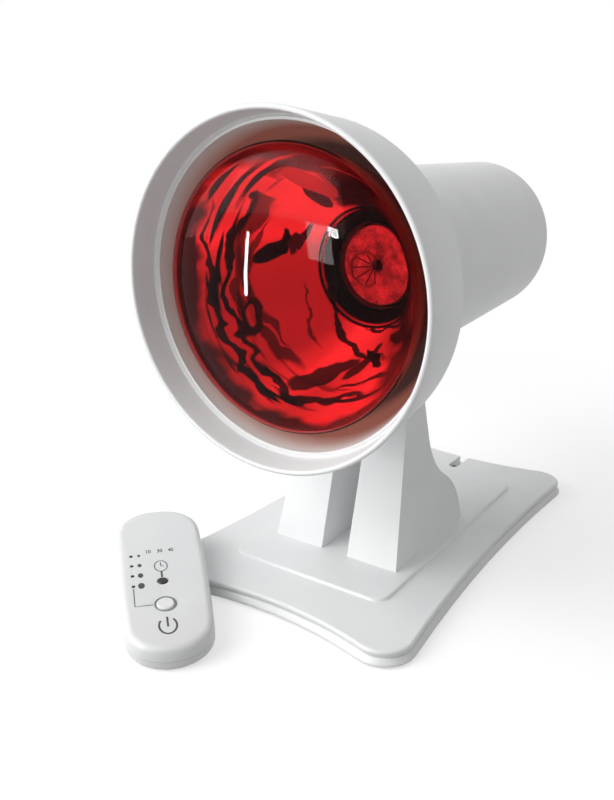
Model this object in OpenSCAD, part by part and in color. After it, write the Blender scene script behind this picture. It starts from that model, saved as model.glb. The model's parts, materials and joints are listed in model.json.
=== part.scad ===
// Infrared heat therapy lamp: a red reflector bulb in a round tilting head, on a stand with two
// legs and a flat weighted base, and a hand-held control that leans on the base's front corner.
// Millimetres, +Z up. The lamp faces -Y. The origin is on the table, under the middle of the base.

/* [Base] */
// Width over the two front corners
base_front_w = 148; // [140:1:156]
// Width over the two back corners
base_back_w = 136; // [130:1:146]
// Length from the front corners to the back corners
base_l = 237.6; // [230:0.2:246]
// Height of the upper face above the table
base_h = 8.5; // [8:0.1:10]
// Radius of the front corners
front_corner_r = 16; // [12:0.5:18]
// Radius of the back corners
back_corner_r = 16; // [12:0.5:18]
// Radius of the hollow front and back edges
end_hollow_r = 190; // [160:5:240]
// Radius of the slightly hollow sides
side_hollow_r = 1100; // [900:50:2000]
// Height of the rubber feet under the tray
foot_h = 1; // [0.8:0.1:2]
// Width of the cord notch in the back edge
notch_w = 6; // [6:0.5:10]
// Distance from the middle of the base to the end of the cord notch
notch_y = 90; // [86:1:96]

/* [Stand] */
// Width of the raised pad at its front
pad_front_w = 91.6; // [86:0.2:96]
// Width of the raised pad at its back
pad_back_w = 88.4; // [84:0.2:94]
// Length of the raised pad
pad_l = 165.4; // [160:0.2:172]
// Height of the pad above the base
pad_h = 1.5; // [1:0.1:2]
// Gap between the two legs
leg_gap = 15.8; // [15.8:0.1:17]
// Width over both legs at the pad
leg_span = 75; // [72:1:80]
// Inward lean of the outer faces, in degrees
leg_draft = 5.5; // [4:0.5:6]
// Front foot of the legs, from the middle of the base
leg_front_y = -54.7; // [-58:0.1:-52]
// Radius of the rounded leg tops, round the tilt axis
leg_top_r = 8.6; // [8.4:0.1:9.4]
// Place of the tilt axis, from the middle of the base
pivot_y = -24.8; // [-26:0.1:-24]
// Height of the tilt axis above the table
pivot_z = 94; // [93:0.5:95]

/* [Head] */
// Height of the head's axis above the table
axis_z = 158.3; // [157:0.1:160]
// Front edge of the head, from the middle of the base
rim_y = -114.6; // [-116:0.1:-113]
// Radius of the rim
rim_r = 80; // [79:0.5:81]
// Radius at the back of the shade ring
shade_back_r = 74.6; // [74:0.1:75.5]
// Depth of the shade ring
shade_d = 39; // [38:0.5:40]
// Depth at which the shoulder meets the tube
shoulder_d = 88; // [86:0.5:90]
// Radius of the tube behind the shoulder
tube_front_r = 49.4; // [49:0.1:50]
// Radius of the tube at its back
tube_back_r = 44.1; // [43.6:0.1:45]
// Overall depth of the head
head_d = 225.8; // [224:0.2:230]
// Rounding of the rear edge
rear_round = 7.2; // [6:0.2:8]
// Wall of the plastic shells
wall = 2.5; // [2.2:0.1:2.6]

/* [Bulb] */
// Largest radius of the reflector bulb
bulb_r = 63; // [62:0.5:63.5]
// Depth of the bulb's widest place behind the rim
bulb_wide_d = 20; // [18:0.5:24]
// Height of the bulb's domed face
dome_h = 17; // [15:0.5:19]
// Length of the mirrored bowl behind the widest place
bowl_l = 76; // [72:0.5:77]
// Radius of the neck where the bowl ends
neck_r = 24; // [23:0.5:25]
// Thickness of the glass
glass_t = 1.2; // [1:0.1:1.4]
// Radius over the screw cap
cap_r = 13.2; // [13:0.1:13.3]

/* [Handset] */
// Length of the control
hand_l = 111; // [106:0.5:114]
// Width of the control
hand_w = 42.6; // [41:0.1:44]
// Thickness of the control
hand_t = 12.5; // [12:0.5:13]
// Middle of the control's lower end, across the table
hand_x = -9.2; // [-12:0.1:-8]
// Middle of the control's lower end, in front of the lamp
hand_y = -170.3; // [-172:0.1:-168]
// Turn of the control on the table, in degrees
hand_turn = 47.1; // [46:0.1:49]
// Lift of its upper end, which lies on the corner of the base, in degrees
hand_lift = 8.2; // [8.1:0.1:10]
// Travel of the power button
power_travel = 0.6; // [0.4:0.1:0.7]
// Travel of the timer button
timer_travel = 0.4; // [0.3:0.1:0.5]

/* [Hidden] */
$fn = 96;

PLASTIC = "#e9ebeb";
STEEL = "#9aa0a3";
BRASS = "#c9a55a";
RUBBER = "#3a3a3c";
RED = "#d3181c";

front_corner = [base_front_w / 2 - front_corner_r, base_l / 2 - front_corner_r];
back_corner = [base_back_w / 2 - back_corner_r, base_l / 2 - back_corner_r];
base_corners = [[-front_corner[0], -front_corner[1]], [front_corner[0], -front_corner[1]],
  [back_corner[0], back_corner[1]], [-back_corner[0], back_corner[1]]];
base_radii = [front_corner_r, front_corner_r, back_corner_r, back_corner_r];
base_sides = [end_hollow_r, side_hollow_r, end_hollow_r, side_hollow_r];

pad_r = 8;
pad_corners = [[-pad_front_w / 2 + pad_r, -pad_l / 2 + pad_r], [pad_front_w / 2 - pad_r, -pad_l / 2 + pad_r],
  [pad_back_w / 2 - pad_r, pad_l / 2 - pad_r], [-pad_back_w / 2 + pad_r, pad_l / 2 - pad_r]];
straight = 100000;

tray_top = 4.8;
shell_bottom = 5;
seam_z = 5.04;
rim_wall = 4.4;
tray_floor = foot_h + 1.8;
shell_skin = 1.9;
pad_z = base_h + pad_h;
base_screw_xy = [[-56, -98], [56, -98], [50, 95], [-50, 95]];
foot_xy = [[-54, -88], [54, -88], [48, 84], [-48, 84]];
stand_screw_xy = [[-20, -42], [20, -42], [-20, 6], [20, 6]];
wire_x = [18, 25];
wire_y = -7;
wire_gap = 2.5;
inlet_y = notch_y + 4.6;

bolt_r = 3;
bolt_head_r = 5.2;
pocket_r = 6.4;
pocket_x = 23.6;
lug_half = leg_gap / 2 - 0.7;
leg_top_x = leg_span / 2 - (pivot_z - pad_z) * tan(leg_draft);

dish_neck_d = 96;
socket_d = 146;
socket_back_d = 190;
plate_d = 191;
plate_screw_r = 36.5;
lug_screw_d = [96, 108];
cap_d = 145;
cap_back_d = 170;
filament_d = 84;
filament_r = 8.4;
coil_r = 0.8;
support_d = filament_d + 8;
stem_r = 2.2;

function unit(v) = v / norm(v);

// Points of an arc round c, from one direction to another, counter-clockwise
function corner_arc(c, r, from, to, n) =
  let (a = atan2(from[1], from[0]), s = ((atan2(to[1], to[0]) - a) % 360 + 360) % 360)
  [for (i = [0:n]) c + r * [cos(a + s * i / n), sin(a + s * i / n)]];

// Points between p and q on the circle of radius r round o
function side_arc(o, r, p, q, n) = n < 2 ? [] : [for (i = [1:n - 1]) o + r * unit(p + (q - p) * i / n - o)];

// Centre of the circle that is tangent to two corner circles: hollow where h > 0, bulging where h < 0
function tangent_centre(c, r, d, s, h) =
  let (a = abs(h + r), b = abs(h + s), l = norm(d - c), u = (d - c) / l,
    t = (a * a - b * b + l * l) / (2 * l))
  c + t * u + sign(h) * sqrt(a * a - t * t) * [u[1], -u[0]];

// A four-cornered outline whose sides are arcs tangent to its corner circles, drawn in by inset
function outline(corners, radii, sides, inset, corner_steps, side_steps) =
  let (o = [for (k = [0:3]) tangent_centre(corners[k], radii[k], corners[(k + 1) % 4], radii[(k + 1) % 4], sides[k])])
  [for (k = [0:3]) let (p = (k + 3) % 4, q = (k + 1) % 4, r = radii[k] - inset,
      from = (o[p] - corners[k]) / (sides[p] + radii[k]),
      to = (o[k] - corners[k]) / (sides[k] + radii[k]),
      next = (o[k] - corners[q]) / (sides[k] + radii[q]))
    each concat(corner_arc(corners[k], r, from, to, corner_steps),
      side_arc(o[k], abs(sides[k] + inset), corners[k] + r * to, corners[q] + (radii[q] - inset) * next, side_steps))];

function base_outline(inset) = outline(base_corners, base_radii, base_sides, inset, 7, 8);
function pad_outline(inset) = outline(pad_corners, [pad_r, pad_r, pad_r, pad_r],
  [straight, straight, straight, straight], inset, 7, 1);

// A closed solid through equal rings of points, each [height, points], listed upwards
module loft(rings) {
  n = len(rings[0][1]);
  m = len(rings);
  polyhedron(
    points = [for (ring = rings) for (p = ring[1]) [p[0], p[1], ring[0]]],
    faces = concat([[for (i = [0:n - 1]) i]], [[for (i = [0:n - 1]) m * n - 1 - i]],
      [for (j = [0:m - 2]) for (i = [0:n - 1])
        [j * n + i, (j + 1) * n + i, (j + 1) * n + (i + 1) % n, j * n + (i + 1) % n]]));
}

// Places children at each listed point
module at_each(points) {
  for (p = points) {
    translate([p[0], p[1], 0]) children();
  }
}

// A countersunk or pan-head screw that points up from z = 0
module screw(head_r, head_h, shank_r, length) {
  cylinder(r = head_r, h = head_h);
  translate([0, 0, head_h]) cylinder(r = shank_r, h = length - head_h);
}

// The notch for the cord, with a round end and open towards the back, widened by grow
module notch_2d(grow) {
  r = notch_w / 2 + grow;
  polygon(concat([for (a = [180:15:360]) [r * cos(a), notch_y + notch_w / 2 + r * sin(a)]],
    [[r, notch_y + 60], [-r, notch_y + 60]]));
}

// ---------------------------------------------------------------- base

// Distance of wire k from the middle of the base, where it crosses to the terminal block
function wire_lane(k) = wire_y + wire_gap * (k - 0.5);

module base_top_shell() {
  ceiling = base_h - shell_skin;
  color(PLASTIC)
  difference() {
    union() {
      loft([[ceiling, base_outline(rim_wall)], [shell_bottom, base_outline(rim_wall)], [shell_bottom, base_outline(2.1)],
        [base_h - 2.9, base_outline(1.9)], [base_h - 2.2, base_outline(1.5)], [base_h - 1.4, base_outline(1.3)],
        [base_h - 0.7, base_outline(1.5)], [base_h - 0.2, base_outline(2)], [base_h, base_outline(2.8)]]);
      at_each(concat(base_screw_xy, stand_screw_xy)) translate([0, 0, seam_z]) cylinder(r = 3.4, h = ceiling + 0.6 - seam_z);
      translate([0, 0, shell_bottom + 0.07]) linear_extrude(ceiling + 0.5 - shell_bottom) intersection() {
        notch_2d(2.4);
        polygon(base_outline(2.9));
      }
    }
    translate([0, 0, shell_bottom - 1]) linear_extrude(base_h) notch_2d(0);
    at_each(base_screw_xy) translate([0, 0, shell_bottom - 1]) cylinder(r = 1.2, h = base_h - shell_bottom);
    at_each(stand_screw_xy) translate([0, 0, shell_bottom - 1]) cylinder(r = 1.8, h = base_h);
    for (k = [0:1]) {
      translate([wire_x[1 - k], wire_lane(k), ceiling - 1]) cylinder(r = 1.7, h = shell_skin + 2);
    }
    translate([0, notch_y + 3, (foot_h + base_h) / 2]) rotate([90, 0, 0]) cylinder(r = 2.4, h = 9);
  }
}

module base_tray() {
  color(PLASTIC)
  difference() {
    union() {
      loft([[foot_h, base_outline(0.5)], [foot_h + 0.4, base_outline(0)], [foot_h + 1.2, base_outline(0.2)],
        [foot_h + 2, base_outline(0.8)], [foot_h + 2.8, base_outline(1.5)], [tray_top, base_outline(2.1)],
        [tray_top, base_outline(rim_wall)], [tray_floor, base_outline(rim_wall)]]);
      at_each(base_screw_xy) translate([0, 0, tray_floor - 0.6]) cylinder(r = 4, h = seam_z - tray_floor + 0.5);
      at_each(stand_screw_xy) translate([0, 0, tray_floor - 0.6]) cylinder(r = 4.4, h = seam_z - tray_floor + 0.5);
      translate([0, 0, tray_floor - 0.5]) linear_extrude(tray_top - tray_floor + 0.43) intersection() {
        notch_2d(2.4);
        polygon(base_outline(2.9));
      }
    }
    translate([0, 0, -1]) linear_extrude(base_h) notch_2d(0);
    at_each(concat(base_screw_xy, stand_screw_xy)) {
      cylinder(r = 1.8, h = base_h);
      translate([0, 0, foot_h - 1]) cylinder(r = 3.2, h = 2.3);
    }
    at_each(foot_xy) translate([0, 0, foot_h - 1]) cylinder(r = 6.5, h = 1.7);
    translate([0, notch_y + 3, (foot_h + base_h) / 2]) rotate([90, 0, 0]) cylinder(r = 2.4, h = 9);
  }
}

module ballast_plate() {
  plate_w = base_back_w - 26;
  color(STEEL)
  translate([0, 0, tray_floor + 0.1]) linear_extrude(base_h - shell_skin - tray_floor - 0.3) difference() {
    translate([-plate_w / 2, -86]) square([plate_w, 168]);
    for (p = concat(stand_screw_xy, foot_xy)) {
      translate(p) circle(5);
    }
    translate([-5, wire_y - 6]) square([10, 120]);
    translate([-5, wire_y - 6]) square([34, 12]);
  }
}

module rubber_feet() {
  color(RUBBER)
  at_each(foot_xy) {
    cylinder(r = 6, h = foot_h);
    translate([0, 0, foot_h - 0.1]) cylinder(r = 6.4, h = 0.7);
  }
}

module base_screws() {
  color(STEEL)
  at_each(base_screw_xy) translate([0, 0, foot_h - 0.4]) screw(2.8, 1.6, 1.15, 5.2);
}

module cord_inlet() {
  color(RUBBER)
  translate([0, inlet_y, (foot_h + base_h) / 2]) rotate([90, 0, 0]) difference() {
    union() {
      cylinder(r = 2.35, h = 10);
      cylinder(r = 2.9, h = 1.4);
    }
    translate([0, 0, -1]) cylinder(r = 1.6, h = 12);
  }
}

// ---------------------------------------------------------------- stand

// Side view of a leg in the Y-Z plane, drawn in by inset: a straight front, a round top
// and a back edge that is hollow above and bulges out to the foot
function leg_side(inset) =
  let (pivot = [pivot_y, pivot_z],
    column_lean = 80, knee_lean = 32, foot_lean = 78,
    hollow_r = 38, knee_r = 37,
    bend = [-12, 68],
    hollow_c = bend + hollow_r * [sin(column_lean), cos(column_lean)],
    knee_start = hollow_c - hollow_r * [sin(knee_lean), cos(knee_lean)],
    knee_c = knee_start - knee_r * [sin(knee_lean), cos(knee_lean)],
    front_dir = unit(pivot - [leg_front_y + leg_top_r, pad_z]),
    top_r = leg_top_r - inset)
  concat(
    [[leg_front_y + inset, pad_z - 2]],
    [for (a = [166:-8:10]) pivot + top_r * [cos(a), sin(a)]],
    [for (i = [0:6]) let (a = column_lean + (knee_lean - column_lean) * i / 6)
      hollow_c - (hollow_r + inset) * [sin(a), cos(a)]],
    [for (i = [1:7]) let (a = knee_lean + (foot_lean - knee_lean) * i / 7)
      knee_c + (knee_r - inset) * [sin(a), cos(a)]],
    [[knee_c[0] + (knee_r - inset) * sin(foot_lean) + 2, pad_z - 2]]);

// One leg as the common part of its side view and its tapered front view
module leg(inset, top) {
  inner = leg_gap / 2 + inset;
  outer = leg_span / 2 - inset;
  rise = top - pad_z;
  intersection() {
    rotate([90, 0, 90]) linear_extrude(leg_span) polygon(leg_side(inset));
    rotate([90, 0, 0]) translate([0, 0, -100]) linear_extrude(200) polygon([[inner, pad_z - 2],
      [outer + 2 * tan(leg_draft), pad_z - 2], [outer - rise * tan(leg_draft), top], [inner, top]]);
  }
}

module stand() {
  color(PLASTIC)
  difference() {
    union() {
      loft([[base_h, pad_outline(0)], [pad_z - 0.9, pad_outline(0.1)], [pad_z - 0.25, pad_outline(0.4)],
        [pad_z, pad_outline(1.1)]]);
      for (side = [0, 1]) {
        mirror([side, 0, 0]) intersection() {
          leg(0, pivot_z + 20);
          translate([0, -100, base_h]) cube([100, 200, 200]);
        }
      }
    }
    for (side = [0, 1]) {
      mirror([side, 0, 0]) difference() {
        leg(wall + 0.4, pivot_z - 16);
        at_each(stand_screw_xy) {
          cylinder(r = 4.2, h = pad_z + 16);
          translate([-12, -1.2, 0]) cube([12, 2.4, pad_z + 12]);
        }
      }
    }
    at_each(stand_screw_xy) translate([0, 0, base_h - 1]) cylinder(r = 1.35, h = 16);
    translate([-60, pivot_y, pivot_z]) rotate([0, 90, 0]) cylinder(r = bolt_r, h = 120);
    for (side = [0, 1]) {
      mirror([side, 0, 0]) translate([pocket_x, pivot_y, pivot_z]) rotate([0, 90, 0]) cylinder(r = pocket_r, h = 20);
    }
  }
}

module stand_screws() {
  color(STEEL)
  at_each(stand_screw_xy) translate([0, 0, foot_h - 0.4]) screw(2.8, 1.6, 1.3, 19);
}

module terminal_block() {
  color("#f4f1e6")
  difference() {
    translate([wire_x[0] - 3.5, wire_y - 5, base_h]) cube([14, 10, 17]);
    for (k = [0:1]) {
      translate([wire_x[1 - k], wire_lane(k), base_h - 1]) cylinder(r = 1.25, h = 12);
      translate([wire_x[k], wire_y - 6, base_h + 12]) rotate([-90, 0, 0]) cylinder(r = 1.8, h = 6.5);
    }
  }
}

// Two insulated wires from the cord inlet to the terminal block in the right leg
module base_wires() {
  wire_r = 1.1;
  wire_z = (foot_h + base_h) / 2;
  for (k = [0:1]) {
    lane_x = wire_gap * (k - 0.5);
    lane_y = wire_lane(k);
    color(k == 0 ? "#6b4a2f" : "#2f5fa8") {
      translate([lane_x, notch_y - 6, wire_z]) rotate([90, 0, 0]) cylinder(r = wire_r, h = notch_y - 6 - lane_y);
      translate([lane_x, lane_y, wire_z]) sphere(wire_r);
      translate([lane_x, lane_y, wire_z]) rotate([0, 90, 0]) cylinder(r = wire_r, h = wire_x[1 - k] - lane_x);
      translate([wire_x[1 - k], lane_y, wire_z]) sphere(wire_r);
      translate([wire_x[1 - k], lane_y, wire_z]) cylinder(r = wire_r, h = base_h - wire_z + 8);
    }
  }
}

module pivot_bolt() {
  color(STEEL)
  translate([0, pivot_y, pivot_z]) rotate([0, 90, 0]) {
    translate([0, 0, -pocket_x - 3.4]) cylinder(r = bolt_r, h = 2 * pocket_x + 3.4);
    translate([0, 0, pocket_x]) difference() {
      cylinder(r = bolt_head_r, h = 3.8);
      translate([0, 0, 1.6]) cylinder(r = 2.9, h = 3, $fn = 6);
    }
  }
}

module pivot_nut() {
  color(STEEL)
  translate([-pocket_x, pivot_y, pivot_z]) rotate([0, -90, 0]) difference() {
    cylinder(r = 5.6, h = 3.8, $fn = 6);
    translate([0, 0, -1]) cylinder(r = bolt_r + 0.05, h = 6);
  }
}

module pivot_caps() {
  color(PLASTIC)
  for (side = [0, 1]) {
    mirror([side, 0, 0]) translate([leg_top_x - 1.4, pivot_y, pivot_z]) rotate([0, 90, 0]) {
      cylinder(r = pocket_r - 0.1, h = 1.4);
      translate([0, 0, 1.4]) cylinder(r1 = pocket_r - 0.1, r2 = pocket_r - 0.8, h = 0.7);
    }
  }
}

module friction_washers() {
  color(STEEL)
  for (side = [0, 1]) {
    mirror([side, 0, 0]) translate([lug_half + 0.05, pivot_y, pivot_z]) rotate([0, 90, 0]) difference() {
      cylinder(r = 8, h = 0.6);
      translate([0, 0, -1]) cylinder(r = bolt_r + 0.05, h = 3);
    }
  }
}

// ---------------------------------------------------------------- head
// In the head's own frame Z is the depth behind the rim, and Y points down.

module on_head() {
  translate([0, rim_y, axis_z]) rotate([-90, 0, 0]) children();
}

function shade_r(d) = rim_r + (shade_back_r - rim_r) * d / shade_d;
function shoulder_r(d) = shade_back_r + (tube_front_r - shade_back_r) * (d - shade_d) / (shoulder_d - shade_d);
function tube_r(d) = tube_front_r + (tube_back_r - tube_front_r) * (d - shoulder_d) / (head_d - rear_round - shoulder_d);

// Points of the soft bend between the shoulder and the tube
function blend(reach) = [for (i = [0:4]) let (t = i / 4)
  [(1 - t) * (1 - t) * shoulder_r(shoulder_d - reach) + 2 * t * (1 - t) * tube_front_r + t * t * tube_r(shoulder_d + reach),
    shoulder_d + reach * (2 * t - 1)]];

// The solid that the shoulder and the tube of the head would fill, with a hair of clearance
module head_envelope() {
  clearance = 0.04;
  rotate_extrude($fn = 180) polygon(concat([[0, shade_d], [shade_back_r + clearance, shade_d]],
    [for (p = blend(5)) [p[0] + clearance, p[1]]],
    [[tube_back_r + clearance, head_d - rear_round], [0, head_d - rear_round]]));
}

module shade_ring() {
  lip_r = 1.3;
  ledge_d = 13.5;
  color(PLASTIC)
  on_head() rotate_extrude($fn = 180) polygon(concat(
    [for (a = [0:30:180]) [rim_r - lip_r + lip_r * cos(a), lip_r - lip_r * sin(a)]],
    [[shade_r(ledge_d) - wall, ledge_d], [shade_r(ledge_d) - wall - 1.2, ledge_d + 0.6],
     [shade_r(32) - wall - 1.4, 32], [shade_r(32) - 1.6, 32], [shade_back_r - 1.7, shade_d]],
    [for (a = [90:-30:0]) [shade_back_r - 1.2 + 1.2 * cos(a), shade_d - 1.2 + 1.2 * sin(a)]]));
}

// Shoulder and tube in one moulding, with its spigot inside the shade ring
module housing_shell() {
  seat_d = head_d - 3.4;
  inner_back_r = tube_r(head_d - rear_round) - wall;
  color(PLASTIC)
  on_head() difference() {
    union() {
      rotate_extrude($fn = 180) polygon(concat(
        [[shade_back_r - 3.4, 32.4], [shade_back_r - 1.9, 32.4], [shade_back_r - 1.9, shade_d + 0.3],
         [shade_back_r - 0.5, shade_d + 0.3], [shade_back_r - 0.1, shade_d + 1]],
        blend(5),
        [for (a = [0:15:90]) [tube_back_r - rear_round + rear_round * cos(a), head_d - rear_round + rear_round * sin(a)]],
        [[31, head_d], [31, seat_d], [25, seat_d], [25, seat_d - 2.4], [inner_back_r, seat_d - 6],
         [tube_front_r - wall, shoulder_d], [shade_back_r - wall - 1.5, shade_d + 2]]));
      for (a = [90, 210, 330]) {
        rotate([0, 0, a]) translate([plate_screw_r, 0, plate_d + 1.6]) cylinder(r = 4, h = seat_d - plate_d - 5);
        rotate([0, 0, a]) translate([plate_screw_r, -2, plate_d + 1.6]) cube([tube_r(plate_d) - 4 - plate_screw_r, 4, 24]);
      }
      for (a = [30, 150, 270]) {
        rotate([0, 0, a]) translate([28, 0, seat_d - 7]) cylinder(r = 2.9, h = 7);
      }
    }
    for (a = [90, 210, 330]) {
      rotate([0, 0, a]) translate([plate_screw_r, 0, plate_d]) cylinder(r = 1.2, h = 14);
    }
    for (a = [30, 150, 270]) {
      rotate([0, 0, a]) translate([28, 0, seat_d - 8]) cylinder(r = 1.1, h = 12);
    }
    for (d = lug_screw_d) {
      translate([0, tube_r(d) + 5, d]) rotate([90, 0, 0]) cylinder(r = 1.7, h = 12);
    }
  }
}

// A slot that runs along a ring, with round ends, for the vents
function slot_points(r, half, width) =
  let (w = width / 2, ends = [r * [cos(half), sin(half)], r * [cos(half), -sin(half)]])
  concat(
    [for (i = [-4:4]) (r + w) * [cos(half * i / 4), sin(half * i / 4)]],
    [for (a = [30:30:150]) ends[0] + w * [cos(half + a), sin(half + a)]],
    [for (i = [4:-1:-4]) (r - w) * [cos(half * i / 4), sin(half * i / 4)]],
    [for (a = [210:30:330]) ends[1] + w * [cos(a - half), sin(a - half)]]);

module rear_cover() {
  cover_d = head_d - 3.3;
  color(PLASTIC)
  on_head() difference() {
    translate([0, 0, cover_d]) union() {
      cylinder(r = 30.7, h = 2.4);
      translate([0, 0, 2.4]) cylinder(r1 = 30.7, r2 = 29.9, h = 0.8);
    }
    for (ring = [0:2]) {
      for (k = [0:5]) {
        rotate([0, 0, 60 * k]) translate([0, 0, cover_d - 1]) linear_extrude(6)
          polygon(slot_points(9 + 6.5 * ring, 16 + 3 * ring, 3));
      }
    }
    for (a = [30, 150, 270]) {
      rotate([0, 0, a]) translate([28, 0, cover_d - 1]) {
        cylinder(r = 1.4, h = 6);
        translate([0, 0, 2.9]) cylinder(r = 2.5, h = 3);
      }
    }
  }
}

module rear_cover_screws() {
  color(STEEL)
  on_head() for (a = [30, 150, 270]) {
    rotate([0, 0, a]) translate([28, 0, head_d - 0.1]) rotate([180, 0, 0]) screw(2.3, 1.3, 1.05, 10);
  }
}

// The lug that carries the head: it is saddled to the tube and hangs between the legs
module tilt_lug() {
  lug_r = 9.4;
  color(PLASTIC)
  difference() {
    intersection() {
      translate([-lug_half, pivot_y, pivot_z]) rotate([90, 0, 90]) {
        cylinder(r = lug_r, h = 2 * lug_half);
        translate([0, 0, 0.3]) linear_extrude(2 * lug_half - 0.6)
          polygon([[-8.4, 3], [-11, 16], [-11, 30], [36, 30], [36, 13.5], [28, 12.5], [6.2, -5.5], [0, 0]]);
      }
      translate([-20, pivot_y - 30, 0]) cube([40, 80, axis_z - 20]);
    }
    on_head() head_envelope();
    translate([-20, pivot_y, pivot_z]) rotate([0, 90, 0]) cylinder(r = 4.5, h = 40);
    on_head() for (d = lug_screw_d) {
      translate([0, tube_r(d) + 9, d]) rotate([90, 0, 0]) cylinder(r = 1.3, h = 11);
    }
  }
}

module lug_bush() {
  color(BRASS)
  translate([-lug_half, pivot_y, pivot_z]) rotate([0, 90, 0]) difference() {
    cylinder(r = 4.5, h = 2 * lug_half);
    translate([0, 0, -1]) cylinder(r = bolt_r + 0.05, h = 2 * lug_half + 2);
  }
}

module lug_screws() {
  color(STEEL)
  on_head() for (d = lug_screw_d) {
    translate([0, tube_r(d) - wall - 2.1, d]) rotate([-90, 0, 0]) screw(3, 1.8, 1.25, 12);
  }
}

// Painted dish round the bulb, from the ledge of the shade ring back to its open neck
module reflector_dish() {
  dish_t = 0.8;
  front_r = shade_r(14.6) - wall - 1.5;
  function dish_r(t) = 32 + (front_r - 32) * (1 - pow(t, 1.45));
  color("#dfe2e2")
  on_head() rotate_extrude($fn = 180) polygon(concat(
    [for (i = [0:14]) [dish_r(i / 14) - dish_t, 14.6 + (dish_neck_d - 14.6) * i / 14]],
    [[30, dish_neck_d + 0.5], [30, dish_neck_d + 2.4], [32, dish_neck_d + 2.4]],
    [for (i = [14:-1:0]) [dish_r(i / 14), 14.6 + (dish_neck_d - 14.6) * i / 14 + (i == 14 ? 0.4 : 0)]]));
}

module socket_plate() {
  color(STEEL)
  on_head() translate([0, 0, plate_d]) difference() {
    cylinder(r = 41, h = 1.5);
    for (a = [90, 210, 330]) {
      rotate([0, 0, a]) translate([plate_screw_r, 0, -1]) cylinder(r = 1.7, h = 4);
    }
    for (a = [30:60:330]) {
      rotate([0, 0, a]) translate([27, 0, -1]) cylinder(r = 4.5, h = 4);
    }
    for (side = [-1, 1]) {
      translate([7 * side, 0, -1]) cylinder(r = 2.4, h = 4);
    }
  }
}

module plate_screws() {
  color(STEEL)
  on_head() for (a = [90, 210, 330]) {
    rotate([0, 0, a]) translate([plate_screw_r, 0, plate_d - 1.8]) screw(2.9, 1.8, 1.15, 14);
  }
}

module lamp_socket() {
  color("#f3f1ea")
  on_head() difference() {
    union() {
      translate([0, 0, socket_d]) cylinder(r1 = 18.6, r2 = 19.6, h = 14);
      translate([0, 0, socket_d + 14]) cylinder(r = 19.6, h = 18);
      translate([0, 0, socket_d + 32]) cylinder(r1 = 19.6, r2 = 15, h = socket_back_d - socket_d - 32 + 1);
    }
    translate([0, 0, socket_d - 1]) cylinder(r = 14.6, h = 31);
    for (side = [-1, 1]) {
      translate([7 * side, 0, socket_d + 20]) cylinder(r = 2.2, h = 40);
    }
  }
}

// Threaded metal sleeve of the socket, as a stack of rings at the thread's pitch
module socket_sleeve() {
  pitch = 3.62;
  color(BRASS)
  on_head() rotate_extrude() polygon(concat(
    [for (i = [0:12]) [13.4 + 0.35 * (i % 2), socket_d + 1 + pitch / 2 * i]],
    [for (i = [12:-1:0]) [13.9 + 0.35 * (i % 2), socket_d + 1 + pitch / 2 * i]]));
}

module socket_contact() {
  color(BRASS)
  on_head() {
    translate([-2.5, -9, socket_back_d - 14.8]) cube([5, 18, 0.6]);
    translate([0, 0, socket_back_d - 14.2 - 3.4]) cylinder(r = 2.4, h = 2.9);
  }
}

// Two wires from the back of the socket that curve down to the lug
module head_wires() {
  wire_r = 1.2;
  on_head() for (side = [-1, 1]) {
    color(side < 0 ? "#6b4a2f" : "#2f5fa8") {
      translate([7 * side, 0, socket_back_d - 6]) cylinder(r = wire_r, h = 12);
      translate([7 * side, 8, socket_back_d + 6]) rotate([90, 0, -90]) rotate_extrude(angle = 90)
        translate([8, 0]) circle(wire_r);
      translate([7 * side, 8, socket_back_d + 14]) rotate([-90, 0, 0]) cylinder(r = wire_r, h = 14);
    }
  }
}

// ---------------------------------------------------------------- bulb

// Radius of the glass at depth d: a flattened dome in front, a mirrored bowl behind
function face_d(r) = bulb_wide_d - dome_h * pow(max(0, 1 - pow(r / bulb_r, 2.2)), 1 / 2.2);
function bowl_r(t) = sqrt(neck_r * neck_r + (bulb_r * bulb_r - neck_r * neck_r) * (1 - pow(t, 1.35)));
bowl_steps = 14;
face_steps = 12;
neck_d = bulb_wide_d + bowl_l;

module bulb_glass() {
  outer = concat(
    [for (i = [0:face_steps]) let (r = bulb_r * sin(90 * i / face_steps)) [r, face_d(r)]],
    [for (i = [1:bowl_steps]) let (t = i / bowl_steps) [bowl_r(t), bulb_wide_d + bowl_l * t]],
    [[22.4, neck_d + 4], [20.4, neck_d + 14], [17.6, neck_d + 34], [16, neck_d + 45], [12.4, cap_d - 0.4], [12.4, cap_d + 1]]);
  inner = concat(
    [[11.2, cap_d + 1], [11.2, cap_d - 0.8], [14.7, neck_d + 44.4], [16.4, neck_d + 34], [19.2, neck_d + 14], [21.2, neck_d + 4.4]],
    [for (i = [bowl_steps:-1:1]) let (t = i / bowl_steps) [bowl_r(t) - glass_t, bulb_wide_d + bowl_l * t]],
    [for (i = [face_steps:-1:0]) let (r = (bulb_r - glass_t) * sin(90 * i / face_steps))
      [r, face_d(r * bulb_r / (bulb_r - glass_t)) + glass_t * (1 - i / face_steps)]]);
  color(RED, 0.7)
  on_head() rotate_extrude($fn = 180) polygon(concat(outer, inner));
}

module bulb_mirror() {
  gap = glass_t + 0.1;
  coat = 0.35;
  color("#e8e8ea")
  on_head() rotate_extrude($fn = 180) polygon(concat(
    [for (i = [1:bowl_steps]) let (t = i / bowl_steps) [bowl_r(t) - gap, bulb_wide_d + bowl_l * t]],
    [for (i = [bowl_steps:-1:1]) let (t = i / bowl_steps) [bowl_r(t) - gap - coat, bulb_wide_d + bowl_l * t]]));
}

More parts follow.
